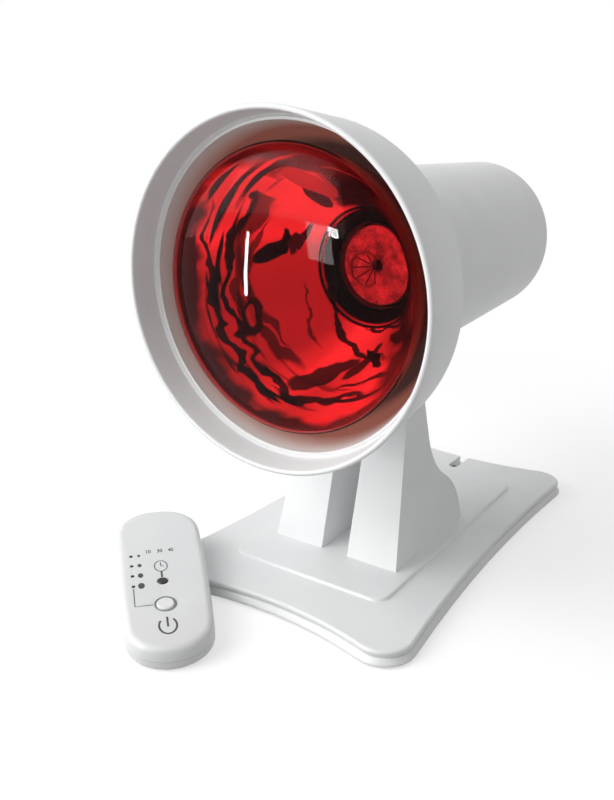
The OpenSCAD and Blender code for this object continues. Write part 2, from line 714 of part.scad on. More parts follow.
module bulb_cap() {
  pitch = 3.62;
  color(BRASS)
  on_head() rotate_extrude() polygon(concat(
    [[12.6, cap_d], [13, cap_d + 0.6]],
    [for (i = [0:11]) [cap_r - 0.45 * (i % 2), cap_d + 3 + pitch / 2 * i]],
    [[9, cap_back_d], [8.4, cap_back_d], [11.6, cap_back_d - 4], [12.2, cap_d + 2], [12.5, cap_d + 1.1], [12.5, cap_d]]));
}

module bulb_tip() {
  color("#26262a")
  on_head() {
    translate([0, 0, cap_back_d - 1]) cylinder(r1 = 8.3, r2 = 4, h = 1.7);
  }
}

module bulb_stem() {
  color("#f2f4f4", 0.6)
  on_head() {
    translate([0, 0, support_d + 2]) cylinder(r = stem_r, h = cap_d - support_d - 10);
    translate([0, 0, cap_d - 10]) cylinder(r1 = 3, r2 = 9.5, h = 8);
    translate([0, 0, support_d]) cylinder(r1 = 2.4, r2 = 3.4, h = 4);
  }
}

// Heat shield across the neck, just behind the end of the mirrored bowl
module neck_disc() {
  color("#e8e8ea")
  on_head() translate([0, 0, neck_d + 1.6]) difference() {
    cylinder(r = neck_r - 3.6, h = 0.4);
    translate([0, 0, -1]) cylinder(r = stem_r + 0.05, h = 3);
  }
}

// Support wires that fan out from the end of the glass stem to the filament
module filament_supports() {
  start = [1.4, support_d - 0.3];
  way = [filament_r, filament_d] - start;
  color(STEEL)
  on_head() for (a = [45:45:315]) {
    rotate([0, 0, a]) translate([start[0], 0, start[1]]) rotate([0, atan2(way[0], way[1]), 0])
      cylinder(r = 0.35, h = norm(way) - coil_r - 0.05, $fn = 16);
  }
}

module filament() {
  color("#c9c9c4")
  on_head() translate([0, 0, filament_d]) rotate([0, 0, 45]) rotate_extrude(angle = 270)
    translate([filament_r, 0]) circle(coil_r, $fn = 24);
}

// ---------------------------------------------------------------- handset
// In the handset's own frame X is its width, Y runs from its lower to its upper end, Z is up
// from its back face.

hand_r = 18.5;
hand_flare = 0.7;
hand_back_round = 3;
hand_half = hand_w / 2 - hand_r;
hand_corners = [[-hand_half + hand_flare, hand_r + 0.9], [hand_half - hand_flare, hand_r + 0.9],
  [hand_half + hand_flare, hand_l - hand_r - 0.8], [-hand_half - hand_flare, hand_l - hand_r - 0.8]];
hand_sides = [-22, -900, -34, -900];
part_z = 5.6;
face_wall = 1.6;
power_xy = [-0.8, 31.7];
timer_xy = [-0.8, 48.7];
led_xy = [for (i = [0:3]) [-14.8, 70.3 - 7.9 * i]];
hand_screw_xy = [[-12.5, 15], [12.5, 15], [-12.5, 96], [12.5, 96]];

module on_handset() {
  seat = hand_back_round * (1 - sin(hand_lift) - cos(hand_lift));
  translate([hand_x, hand_y, seat]) rotate([0, 0, hand_turn]) rotate([hand_lift, 0, 0]) children();
}

function hand_outline(inset) = outline(hand_corners, [hand_r, hand_r, hand_r, hand_r], hand_sides, inset, 8, 5);

module handset_top_shell() {
  color(PLASTIC)
  on_handset() difference() {
    loft([[part_z + 0.15, hand_outline(0)], [hand_t - 3.2, hand_outline(0.5)], [hand_t - 1.5, hand_outline(1.1)],
      [hand_t - 0.5, hand_outline(2.2)], [hand_t, hand_outline(4)]]);
    translate([0, 0, part_z - 1]) linear_extrude(hand_t - face_wall - part_z + 1) difference() {
      polygon(hand_outline(2.7));
      for (p = hand_screw_xy) {
        translate(p) circle(2.8);
      }
    }
    translate([power_xy[0], power_xy[1], 0]) {
      cylinder(r = 4.6, h = hand_t + 1);
      translate([0, 0, hand_t - 0.6]) cylinder(r = 5.4, h = 2);
    }
    translate([timer_xy[0], timer_xy[1], 0]) cylinder(r = 2.7, h = hand_t + 1);
    at_each(led_xy) cylinder(r = 0.95, h = hand_t + 1);
    at_each(hand_screw_xy) translate([0, 0, part_z - 1]) cylinder(r = 1, h = 5);
    translate([0, hand_l + 1, part_z]) rotate([90, 0, 0]) cylinder(r = 3, h = 6);
  }
}

module handset_bottom_shell() {
  r = hand_back_round;
  color(PLASTIC)
  on_handset() difference() {
    union() {
      difference() {
        loft([[0, hand_outline(r)], [r * (1 - cos(40)), hand_outline(r * (1 - sin(40)))],
          [r * (1 - cos(68)), hand_outline(r * (1 - sin(68)))], [r, hand_outline(0)], [part_z, hand_outline(0)]]);
        translate([0, 0, 1.8]) linear_extrude(part_z) polygon(hand_outline(2.7));
      }
      at_each(hand_screw_xy) translate([0, 0, 1]) cylinder(r = 2.8, h = part_z - 1.1);
    }
    at_each(hand_screw_xy) {
      cylinder(r = 1.3, h = part_z + 1);
      translate([0, 0, -1]) cylinder(r = 2.4, h = 2.4);
    }
    translate([0, hand_l + 1, part_z]) rotate([90, 0, 0]) cylinder(r = 3, h = 6);
  }
}

module power_button() {
  color("#f1f2f2")
  on_handset() translate([power_xy[0], power_xy[1], 0]) {
    translate([0, 0, hand_t - face_wall - 1.5]) cylinder(r = 5.6, h = 1.1);
    translate([0, 0, hand_t - face_wall - 0.5]) cylinder(r = 4.3, h = face_wall + 0.6);
    translate([0, 0, hand_t + 0.1]) cylinder(r1 = 4.3, r2 = 3.7, h = 0.6);
  }
}

module button_ring() {
  color("#8d9294")
  on_handset() translate([power_xy[0], power_xy[1], hand_t - 0.55]) difference() {
    union() {
      cylinder(r = 5.35, h = 0.6);
      translate([0, 0, 0.6]) cylinder(r1 = 5.35, r2 = 5.05, h = 0.25);
    }
    translate([0, 0, -1]) cylinder(r = 4.6, h = 4);
  }
}

module timer_button() {
  color("#1b1b1d")
  on_handset() translate([timer_xy[0], timer_xy[1], 0]) {
    translate([0, 0, hand_t - face_wall - 1.3]) cylinder(r = 3.6, h = 1);
    translate([0, 0, hand_t - face_wall - 0.4]) cylinder(r = 2.45, h = face_wall + 0.4);
    translate([0, 0, hand_t]) cylinder(r1 = 2.45, r2 = 2.05, h = 0.4);
  }
}

module led_windows() {
  color("#2a2b2e")
  on_handset() at_each(led_xy) translate([0, 0, hand_t - face_wall - 1]) cylinder(r = 0.9, h = face_wall + 1.05);
}

module circuit_board() {
  color("#2f7a4d")
  on_handset() translate([0, 0, part_z + 0.2]) linear_extrude(1.2) difference() {
    polygon(hand_outline(4));
    for (p = hand_screw_xy) {
      translate(p) circle(3.4);
    }
    translate([-5, hand_l - 9]) square([10, 10]);
  }
}

module button_switches() {
  board_top = part_z + 1.4;
  color("#3b3d40")
  on_handset() {
    translate([power_xy[0], power_xy[1], board_top]) {
      translate([-3, -3, 0]) cube([6, 6, 1.1]);
      cylinder(r = 1.7, h = 1.6);
    }
    translate([timer_xy[0], timer_xy[1], board_top]) {
      translate([-3, -3, 0]) cube([6, 6, 1.4]);
      cylinder(r = 1.5, h = 2);
    }
  }
}

module handset_screws() {
  color(STEEL)
  on_handset() at_each(hand_screw_xy) translate([0, 0, 0.3]) screw(2.2, 1.1, 0.95, 9);
}

module handset_cord_inlet() {
  color(RUBBER)
  on_handset() translate([0, hand_l + 1.2, part_z]) rotate([90, 0, 0]) difference() {
    union() {
      cylinder(r = 2.95, h = 5);
      cylinder(r1 = 3.2, r2 = 3.6, h = 1.1);
    }
    translate([0, 0, -1]) cylinder(r = 1.8, h = 8);
  }
}

base_top_shell();
base_tray();
ballast_plate();
rubber_feet();
base_screws();
cord_inlet();
stand();
stand_screws();
terminal_block();
base_wires();
pivot_bolt();
pivot_nut();
pivot_caps();
friction_washers();
tilt_lug();
lug_bush();
lug_screws();
shade_ring();
housing_shell();
rear_cover();
rear_cover_screws();
reflector_dish();
socket_plate();
plate_screws();
lamp_socket();
socket_sleeve();
socket_contact();
head_wires();
bulb_glass();
bulb_mirror();
bulb_cap();
bulb_tip();
bulb_stem();
neck_disc();
filament_supports();
filament();
handset_top_shell();
handset_bottom_shell();
power_button();
button_ring();
timer_button();
led_windows();
circuit_board();
button_switches();
handset_screws();
handset_cord_inlet();
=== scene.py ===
# Looks of an infrared heat therapy lamp: a red reflector bulb in a round white hood that tilts on a
# forked stand, a flat weighted base, and a push-button hand control that leans on the base.
import json
import logging
import math
from dataclasses import dataclass
from enum import Enum
from typing import Callable, Optional, Sequence

import bmesh
import bpy
from mathutils import Matrix, Vector

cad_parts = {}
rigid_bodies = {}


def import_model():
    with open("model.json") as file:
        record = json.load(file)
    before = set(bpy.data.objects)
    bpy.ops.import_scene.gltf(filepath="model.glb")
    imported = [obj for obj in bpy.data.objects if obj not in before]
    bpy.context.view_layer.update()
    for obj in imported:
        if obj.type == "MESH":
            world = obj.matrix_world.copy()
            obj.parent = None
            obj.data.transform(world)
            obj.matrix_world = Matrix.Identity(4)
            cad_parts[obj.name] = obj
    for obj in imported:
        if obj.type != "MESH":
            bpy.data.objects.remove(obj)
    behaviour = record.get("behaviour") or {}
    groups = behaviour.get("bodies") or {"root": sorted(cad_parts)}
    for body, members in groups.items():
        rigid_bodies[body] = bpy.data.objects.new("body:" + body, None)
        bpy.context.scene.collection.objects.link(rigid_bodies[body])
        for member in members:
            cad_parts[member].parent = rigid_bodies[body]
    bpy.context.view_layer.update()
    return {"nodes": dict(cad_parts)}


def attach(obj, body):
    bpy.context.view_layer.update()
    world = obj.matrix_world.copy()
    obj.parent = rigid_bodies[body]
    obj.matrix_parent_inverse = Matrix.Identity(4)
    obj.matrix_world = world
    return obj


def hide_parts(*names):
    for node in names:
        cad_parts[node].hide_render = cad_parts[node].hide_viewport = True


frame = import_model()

LOG = logging.getLogger("heat_lamp")
MM = 0.001
Point2 = tuple[float, float]
Point3 = tuple[float, float, float]
Shader = bpy.types.NodeSocket
Tree = bpy.types.NodeTree
Piece = bpy.types.Object
Solid = bmesh.types.BMesh
FULL_WHITE = (1.0, 1.0, 1.0, 1.0)


class Body(Enum):
    """The rigid bodies that a piece can ride on."""

    BASE = "base"
    HEAD = "head"
    HANDSET = "handset"
    POWER = "power_button"
    TIMER = "timer_button"


# ---- colours and nodes


def linear(hex_colour: str) -> tuple[float, float, float, float]:
    """Turns an sRGB hex colour into linear RGBA.

    Args:
        hex_colour: six hex digits, with or without a leading #.

    Returns:
        Linear red, green, blue and an alpha of 1.
    """
    digits = hex_colour.lstrip("#")
    channels = [int(digits[i:i + 2], 16) / 255 for i in (0, 2, 4)]
    lit = [c / 12.92 if c <= 0.04045 else ((c + 0.055) / 1.055) ** 2.4 for c in channels]
    return lit[0], lit[1], lit[2], 1.0


def add_node(tree: Tree, kind: str, links: "dict | Sequence" = (), out: "int | str" = 0,
             **settings: object) -> Optional[Shader]:
    """Adds one shader node with its settings and inputs.

    Args:
        tree: the node tree of a material or world.
        kind: the node's type name without its ShaderNode prefix, with its operation after a colon.
        links: a value, or the socket that feeds it, for each input by name or number or in order.
        out: name or number of the output to return.
        settings: attributes of the node. The stops of a colour ramp are places from 0 to 1 with
            their sRGB hex colours.

    Returns:
        One of the node's outputs, or nothing if it has none.
    """
    name, _, operation = kind.partition(":")
    node = tree.nodes.new("ShaderNode" + name)
    if operation:
        node.operation = operation
    stops = settings.pop("stops", ())
    if stops:
        elements = node.color_ramp.elements
        while len(elements) < len(stops):
            elements.new(0.5)
        for element, (place, colour) in zip(elements, stops):
            element.position = place
            element.color = linear(colour)
    for key, value in settings.items():
        setattr(node, key, value)
    for key, value in (links if isinstance(links, dict) else dict(enumerate(links))).items():
        if isinstance(value, bpy.types.NodeSocket):
            tree.links.new(value, node.inputs[key])
        else:
            node.inputs[key].default_value = value
    return node.outputs[out] if node.outputs else None


# ---- finishes


@dataclass(frozen=True)
class Finish:
    """A material, named for the real one. Subclasses say how it looks."""

    name: str

    def material(self) -> bpy.types.Material:
        """Makes the material once and returns it."""
        made = bpy.data.materials.get(self.name)
        if made is None:
            made = bpy.data.materials.new(self.name)
            made.use_nodes = True
            made.node_tree.nodes.clear()
            add_node(made.node_tree, "OutputMaterial", {"Surface": self.dress(made.node_tree)})
        return made

    def dress(self, tree: Tree) -> Shader:
        """Builds the nodes and returns the surface shader's socket."""
        raise NotImplementedError

    def grit(self, tree: Tree, size_mm: float, detail: float = 2.0,
             stretch: Point3 = (1.0, 1.0, 1.0)) -> Shader:
        """Adds noise of a real size on the piece's own coordinates.

        Args:
            tree: the node tree.
            size_mm: size of one speck or grain in millimetres.
            detail: the noise's detail.
            stretch: scale along each axis, under 1 for grain drawn out along it.

        Returns:
            The noise's value socket.
        """
        place = add_node(tree, "TexCoord", out="Object")
        place = add_node(tree, "Mapping", {"Vector": place, "Scale": stretch})
        return add_node(tree, "TexNoise", {"Vector": place, "Scale": 1 / (size_mm * MM), "Detail": detail}, "Fac")

    def bump(self, tree: Tree, height: Shader, depth_mm: float, strength: float) -> Shader:
        """Adds a bump of a real depth and returns its normal socket."""
        return add_node(tree, "Bump", {"Height": height, "Distance": depth_mm * MM, "Strength": strength})


@dataclass(frozen=True)
class MouldedPlastic(Finish):
    """Injection-moulded ABS: an even colour with faint flow clouds, and the fine spark-eroded
    grain of the mould, which breaks the sheen into a soft satin."""

    colour: str
    cloud: str
    roughness: float = 0.38
    grain_mm: float = 0.45
    grain_depth_mm: float = 0.012
    sheen_spread: float = 0.06
    cloud_mm: float = 38.0
    polish_mm: float = 9.0

    def dress(self, tree: Tree) -> Shader:
        """Adds the nodes and returns the shader."""
        clouds = add_node(tree, "ValToRGB", [self.grit(tree, self.cloud_mm, 3)],
                          stops=[(0.35, self.cloud), (0.62, self.colour)])
        grain = self.grit(tree, self.grain_mm, 2)
        polish = add_node(tree, "MapRange", {"Value": self.grit(tree, self.polish_mm, 3), "To Min": self.roughness,
                                             "To Max": self.roughness + self.sheen_spread})
        return add_node(tree, "BsdfPrincipled", {
            "Base Color": clouds, "Roughness": polish, "IOR": 1.53,
            "Normal": self.bump(tree, grain, self.grain_depth_mm, 0.35)})


def from_axis(tree: Tree, axis_z: float) -> tuple[Shader, Shader]:
    """Finds where a point lies round the head's axis.

    Args:
        tree: the node tree.
        axis_z: height of the axis in metres.

    Returns:
        The point's direction from the axis as a unit vector, and its radius in millimetres.
    """
    place = add_node(tree, "TexCoord", out="Object")
    centred = add_node(tree, "Mapping", {"Vector": place, "Location": (0.0, 0.0, -axis_z)})
    flat = add_node(tree, "VectorMath:MULTIPLY", [centred, (1.0, 0.0, 1.0)])
    length = add_node(tree, "VectorMath:LENGTH", [flat], "Value")
    return add_node(tree, "VectorMath:NORMALIZE", [flat]), add_node(tree, "Math:DIVIDE", [length, MM])


@dataclass(frozen=True)
class EnamelledDish(MouldedPlastic):
    """Stoved white enamel on a spun dish, with the ruby bulb's light painted on it: a painted brown-red
    glow at the bulb's edge, fading out towards the hood's rim, and painted shade deep behind the bulb."""

    # Colours of the painted pink and brown-red glow from the bulb and of the painted shade behind it, and the radii
    # they are painted between
    glow: str = "#c8806f"
    painted_pink_light: str = "#ddb8ae"
    painted_deep_shade: str = "#6b4f4a"
    axis_z: float = 0.1583
    near_mm: float = 62.0
    far_mm: float = 73.8

    def dress(self, tree: Tree) -> Shader:
        """Adds the nodes and returns the shader."""
        radius = from_axis(tree, self.axis_z)[1]
        reach = add_node(tree, "MapRange", {"Value": radius, "From Min": self.far_mm, "From Max": self.near_mm})
        # The painted glow and painted shade, laid on by radius from the axis
        tinted = add_node(tree, "ValToRGB", [reach], stops=[
            (0.0, self.colour), (0.17, self.painted_pink_light), (0.33, self.glow), (0.6, self.glow), (1.0, self.painted_deep_shade)])
        return add_node(tree, "BsdfPrincipled", {
            "Base Color": tinted, "Roughness": self.roughness, "IOR": 1.5,
            "Normal": self.bump(tree, self.grit(tree, self.grain_mm), self.grain_depth_mm, 0.3)})


@dataclass(frozen=True)
class Metal(Finish):
    """Bare or plated metal: a full mirror colour with fine drawn marks that spread the highlight."""

    colour: str
    dark: str
    roughness: float
    mark_mm: float = 0.25
    stain_mm: float = 5.0
    spread: float = 0.14
    stretch: Point3 = (1.0, 0.12, 1.0)

    def dress(self, tree: Tree) -> Shader:
        """Adds the nodes and returns the shader."""
        marks = self.grit(tree, self.mark_mm, 3, self.stretch)
        tone = add_node(tree, "ValToRGB", [self.grit(tree, self.stain_mm, 4)],
                        stops=[(0.3, self.dark), (0.7, self.colour)])
        polish = add_node(tree, "MapRange", {"Value": marks, "To Min": self.roughness,
                                             "To Max": self.roughness + self.spread})
        return add_node(tree, "BsdfPrincipled", {
            "Base Color": tone, "Metallic": 1.0, "Roughness": polish,
            "Normal": self.bump(tree, marks, 0.01, 0.25)})


@dataclass(frozen=True)
class MattMoulding(Finish):
    """Rubber, nylon, ceramic or board lacquer: one dull coloured body with a fine mottle."""

    colour: str
    mottle: str
    roughness: float
    speck_mm: float = 0.6
    ior: float = 1.5

    def dress(self, tree: Tree) -> Shader:
        """Adds the nodes and returns the shader."""
        speck = self.grit(tree, self.speck_mm, 4)
        tone = add_node(tree, "ValToRGB", [speck], stops=[(0.35, self.mottle), (0.65, self.colour)])
        return add_node(tree, "BsdfPrincipled", {
            "Base Color": tone, "Roughness": self.roughness, "IOR": self.ior,
            "Normal": self.bump(tree, speck, 0.02, 0.3)})


@dataclass(frozen=True)
class StainedGlass(Finish):
    """Blown glass, plain or stained: polished, clear through, and tinted on the way in and out. The
    stained one's index is set well under that of glass, so that the studio doesn't veil the red."""

    tint: str
    ior: float = 1.47
    wave_mm: float = 22.0

    def dress(self, tree: Tree) -> Shader:
        """Adds the nodes and returns the shader."""
        wave = self.bump(tree, self.grit(tree, self.wave_mm, 1), 0.05, 0.12)
        return add_node(tree, "BsdfPrincipled", {
            "Base Color": linear(self.tint), "Roughness": 0.0, "IOR": self.ior, "Transmission Weight": 1.0,
            "Normal": wave})


@dataclass(frozen=True)
class Streak:
    """One painted streak of reflected light or shade, drawn out round the bowl.

    Attributes:
        turn: direction of its middle from the axis, in degrees, counter-clockwise from the front.
        reach: how far it runs to each side of that, in degrees.
        radius: its radius at its middle, in millimetres.
        half: half its width, in millimetres.
        climb: how much the radius grows in one radian of turn.
        tone: how bright its painted reflection is, from 0 to 1.
        soft: width of its soft edge, in millimetres.
    """

    turn: float
    reach: float
    radius: float
    half: float
    climb: float
    tone: float
    soft: float


@dataclass(frozen=True)
class SilveredBowl(Finish):
    """Vapour-deposited silver behind red glass. It mirrors the scene, and its colour carries painted
    reflections drawn out into swirls round the axis: painted light on the side towards the lamps, painted
    shade nearly black on the other side, in dark creases near the rim and round the neck, and a painted red glow."""

    axis_z: float = 0.1583
    # Turn, in degrees from the front, of the side that gets the painted light
    lit_turn: float = 212.0
    # Widths of the broad and the fine waves and of the painted dark creases, and how far the first two push a painted
    # line
    wave_mm: float = 9.0
    ripple_mm: float = 3.0
    fold_mm: float = 1.5
    # Radii where the painted creases come in, where the painted shade at the rim comes in, and of the painted dark
    # rings at the neck
    painted_fold_shade: Point2 = (50.0, 56.0)
    rim: Point2 = (60.6, 62.6)
    neck: Point2 = (24.0, 32.0)
    # Painted tone away from the lamps and towards them, painted shade at the rim, roughness, and the strength of the
    # painted red glow
    unlit: float = 0.035
    lit: float = 0.97
    painted_rim_shade: float = 0.06
    roughness: float = 0.24
    painted_glow: float = 0.34
    # Painted streaks of reflected light and shade: turn, reach, radius, half width, climb, tone and soft edge of each
    painted_reflection_streaks: tuple[Streak, ...] = tuple(Streak(*row) for row in (
        (200, 95, 58, 2.6, 0, 1, 0.9), (186, 62, 52, 3, -1.5, 0.22, 1), (160, 34, 55.4, 0.5, 2, 0.02, 0.3),
        (196, 40, 56.6, 0.6, 1, 0.02, 0.4), (224, 30, 59.4, 0.7, 0.8, 0.03, 0.5),
        (182, 36, 59.7, 0.5, -1.5, 0.04, 0.4), (150, 22, 51, 0.5, 5, 0.8, 0.4),
        (214, 26, 50.8, 0.45, -4, 0.9, 0.4), (131, 8, 43, 15, -26, 0.95, 1.5), (121, 7, 42, 6, -30, 0.05, 1.5),
        (114, 8, 46, 9, 16, 0.5, 2), (171, 8, 44.8, 3.7, 20, 0.008, 0.8), (162, 7, 41, 2.2, -16, 0.01, 0.6),
        (160, 14, 38, 1.6, 8, 0.06, 0.8), (208, 10, 52.6, 3.4, 14, 0.05, 0.8),
        (207, 6, 52.9, 1.5, 14, 0.9, 0.6), (264, 15, 49, 3.4, -22, 0.08, 1.2), (283, 9, 44, 2.8, -34, 0.08, 1),
        (247, 52, 35.5, 1.1, 11, 0.04, 0.7), (222, 26, 39.5, 0.5, 9, 0.25, 0.4), (289, 9, 43, 1.7, 26, 0, 0.6),
        (262, 40, 56.6, 1, -1, 0.05, 0.6), (308, 34, 50, 0.8, -5, 0.06, 0.5),
        (300, 34, 31.5, 0.8, 3, 0.06, 0.6), (318, 20, 39, 3.2, 10, 0.08, 1.4), (60, 40, 49, 0.9, 4, 0.35, 0.9),
        (20, 34, 40, 0.7, -6, 0.3, 0.8),
    ))

    def swirl(self, tree: Tree, way: Shader, radius: Shader, along: float,
              across_mm: float) -> Shader:
        """Adds noise that is drawn out round the axis.

        Args:
            tree: the node tree.
            way: direction from the axis.
            radius: radius in millimetres.
            along: features in one radian of turn.
            across_mm: width of a feature.

        Returns:
            The noise's value socket.
        """
        drawn = add_node(tree, "VectorMath:SCALE", {0: way, "Scale": along})
        step = add_node(tree, "CombineXYZ", {1: add_node(tree, "Math:DIVIDE", [radius, across_mm])})
        spot = add_node(tree, "VectorMath:ADD", [drawn, step])
        return add_node(tree, "TexNoise", {"Vector": spot, "Scale": 1.0, "Detail": 1.5, "Distortion": 0.4}, "Fac")

    def mask(self, tree: Tree, way: Shader, radius: Shader, streak: Streak) -> Shader:
        """Adds the mask of one streak: 1 on it, 0 off it."""
        turn = math.radians(streak.turn)
        ahead, beside = (math.cos(turn), 0.0, math.sin(turn)), (-math.sin(turn), 0.0, math.cos(turn))
        cosine = add_node(tree, "VectorMath:DOT_PRODUCT", [way, ahead], "Value")
        sine = add_node(tree, "VectorMath:DOT_PRODUCT", [way, beside], "Value")
        middle = add_node(tree, "Math:MULTIPLY_ADD", [sine, streak.climb, streak.radius])
        off = add_node(tree, "Math:DIVIDE", [add_node(tree, "Math:SUBTRACT", [radius, middle]), streak.half])
        span = 1 / (1 - math.cos(math.radians(streak.reach)))
        along = add_node(tree, "Math:MULTIPLY_ADD", [cosine, span, 1 - span])
        inside = add_node(tree, "Math:SUBTRACT", [along, add_node(tree, "Math:MULTIPLY", [off, off])])
        blur = streak.soft / streak.half
        return add_node(tree, "MapRange", {"Value": inside, "From Min": -blur / 2, "From Max": blur / 2},
                        interpolation_type="SMOOTHSTEP")

    def dress(self, tree: Tree) -> Shader:
        """Adds the nodes and returns the shader."""
        way, radius = from_axis(tree, self.axis_z)
        wavy = radius
        for along, across in ((6.0, self.ripple_mm), (2.2, self.wave_mm)):
            pushed = add_node(tree, "Math:SUBTRACT", [self.swirl(tree, way, radius, along, across), 0.5])
            wavy = add_node(tree, "Math:MULTIPLY_ADD", [pushed, across, wavy])
        # Painted light on the side towards the lamps and painted shade on the other side, nudged by the broad waves
        lit = math.radians(self.lit_turn)
        facing = add_node(tree, "VectorMath:DOT_PRODUCT", [way, (math.cos(lit), 0.0, math.sin(lit))], "Value")
        facing = add_node(tree, "Math:MULTIPLY_ADD", [pushed, 0.9, facing])
        tone = add_node(tree, "MapRange", {
            "Value": facing, "From Min": -0.3, "From Max": 0.06, "To Min": self.unlit, "To Max": self.lit},
            interpolation_type="SMOOTHSTEP")
        # Paints each streak of reflected light or shade over the tone
        for streak in self.painted_reflection_streaks:
            mask = self.mask(tree, way, wavy, streak)
            tone = add_node(tree, "Mix", {"Factor": mask, 2: tone, 3: streak.tone}, data_type="FLOAT")
        # Painted shade in dark creases near the rim
        painted_fold_shade = add_node(tree, "MapRange", {
            "Value": self.swirl(tree, way, radius, 1.6, self.fold_mm), "From Min": 0.47, "From Max": 0.4})
        near_rim = add_node(tree, "MapRange", {
            "Value": radius, "From Min": self.painted_fold_shade[0], "From Max": self.painted_fold_shade[1]})
        open_silver = add_node(tree, "Math:SUBTRACT", [1.0, add_node(tree, "Math:MULTIPLY", [painted_fold_shade, near_rim])])
        tone = add_node(tree, "Math:MULTIPLY", [tone, open_silver])
        # Painted shade round the rim of the bowl
        rim = add_node(tree, "MapRange", {"Value": wavy, "From Min": self.rim[0], "From Max": self.rim[1]},
                       interpolation_type="SMOOTHSTEP")
        tone = add_node(tree, "Mix", {"Factor": rim, 2: tone, 3: self.painted_rim_shade}, data_type="FLOAT")
        # Painted shade round the neck: black, a pale band, a dark ring, then open silver
        near_neck = add_node(tree, "MapRange", {
            "Value": radius, "From Min": self.neck[0], "From Max": self.neck[1]})
        painted_neck_rings = add_node(tree, "ValToRGB", [near_neck], stops=[
            (0.0, "#000000"), (0.58, "#000000"), (0.62, "#909090"), (0.7, "#c8c8c8"), (0.74, "#181818"),
            (0.84, "#202020"), (0.9, "#ffffff")])
        tone = add_node(tree, "Math:MULTIPLY", [tone, painted_neck_rings])
        silver = add_node(tree, "CombineColor", [tone, tone, tone])
        # A painted red glow from the silver's tone, though the bulb is unlit
        ruby = add_node(tree, "Mix", {"Factor": 1.0, 6: silver, 7: (1.0, 0.11, 0.11, 1.0)}, 2,
                        data_type="RGBA", blend_type="MULTIPLY")
        return add_node(tree, "BsdfPrincipled", {
            "Base Color": silver, "Metallic": 1.0, "Roughness": self.roughness,
            "Emission Color": ruby, "Emission Strength": self.painted_glow})


def background_rays(tree: Tree) -> Shader:
    """1 for camera, glossy and transmission rays, and 0 for the rest."""
    rays = [add_node(tree, "LightPath", out=f"Is {kind} Ray") for kind in ("Camera", "Glossy", "Transmission")]
    return add_node(tree, "Math:MAXIMUM", [add_node(tree, "Math:MAXIMUM", rays[:2]), rays[2]])


@dataclass(frozen=True)
class PaperSweep(Finish):
    """Seamless white paper. It shows the lamp's shadow up to near, and is plain white beyond far,
    in metres."""

    near: float = 0.2
    far: float = 0.46
    lift: float = 0.56

    def dress(self, tree: Tree) -> Shader:
        """Adds the nodes and returns the shader."""
        paper = add_node(tree, "BsdfDiffuse", {"Color": (0.5, 0.5, 0.5, 1.0)})
        distance = add_node(tree, "VectorMath:LENGTH", [add_node(tree, "TexCoord", out="Object")], "Value")
        away = add_node(tree, "MapRange", {"Value": distance, "From Min": self.near, "From Max": self.far},
                        interpolation_type="SMOOTHSTEP")
        seen = add_node(tree, "BsdfDiffuse", {"Color": (0.6, 0.6, 0.6, 1.0)})
        lift, white = (add_node(tree, "Emission", {"Color": FULL_WHITE, "Strength": power})
                       for power in (self.lift, 1.0))
        shown = add_node(tree, "MixShader", [away, add_node(tree, "AddShader", [seen, lift]), white])
        return add_node(tree, "MixShader", [background_rays(tree), paper, shown])


WHITE_ABS = MouldedPlastic("white satin ABS", "#f3f4f4", "#eff0f1")
HANDSET_ABS = MouldedPlastic("white fine-grained ABS", "#eceded", "#e8e9ea", 0.34, 0.35, 0.008)
DISH_ENAMEL = EnamelledDish("white stoved enamel", "#eeefef", "#e9eaea", 0.42, 0.3, 0.01)
BUTTON_ABS = MouldedPlastic("white polished ABS", "#f4f5f5", "#f0f1f1", 0.24, 0.5, 0.004)
RING_ABS = MouldedPlastic("grey polished ABS", "#8a9093", "#83898c", 0.28, 0.4, 0.004)
BLACK_ABS = MouldedPlastic("black polished ABS", "#151517", "#101012", 0.22, 0.4, 0.004)
SMOKED_WINDOW = MouldedPlastic("smoked polycarbonate", "#2b2d30", "#232528", 0.15, 0.4, 0.002)
PRINT_INK = MouldedPlastic("grey pad-printing ink", "#4a5054", "#41474a", 0.5, 0.2, 0.003)
CHARCOAL_RUBBER = MattMoulding("charcoal moulded rubber", "#3a3b3d", "#2c2d2f", 0.85)
NATURAL_NYLON = MattMoulding("natural nylon", "#efead8", "#e6dfca", 0.5)
GLAZED_CERAMIC = MattMoulding("glazed steatite", "#f2efe6", "#e9e5d9", 0.18, 3.0, 1.6)
SOLDER_MASK = MattMoulding("green solder mask", "#2f7a4d", "#27683f", 0.3, 1.2)
SWITCH_BODY = MattMoulding("black nylon", "#2a2b2d", "#202123", 0.55)
VITRITE = MattMoulding("black vitrite glass", "#1c1c20", "#121215", 0.2, 1.0, 1.52)
WIRE_PVC = MattMoulding("brown and blue PVC", "#5a4a5e", "#46506e", 0.45, 6.0)
ZINC_STEEL = Metal("zinc-plated steel", "#c6c9cb", "#a9adb0", 0.28)
BALLAST_IRON = Metal("sawn mild steel", "#7d8184", "#5f6366", 0.45, 0.5)
BRASS = Metal("plain brass", "#d8b66c", "#b8934d", 0.26)
TUNGSTEN = Metal("drawn tungsten", "#a7a49c", "#807d76", 0.35, 0.1)
HEAT_SHIELD = Metal("polished aluminium", "#f2f3f3", "#8f9294", 0.2, 0.5)
RUBY_GLASS = StainedGlass("ruby-stained glass", "#f4646a", 1.15)
CLEAR_GLASS = StainedGlass("clear stem glass", "#f6f8f8")
SILVER = SilveredBowl("silver behind ruby glass")


# ---- making pieces


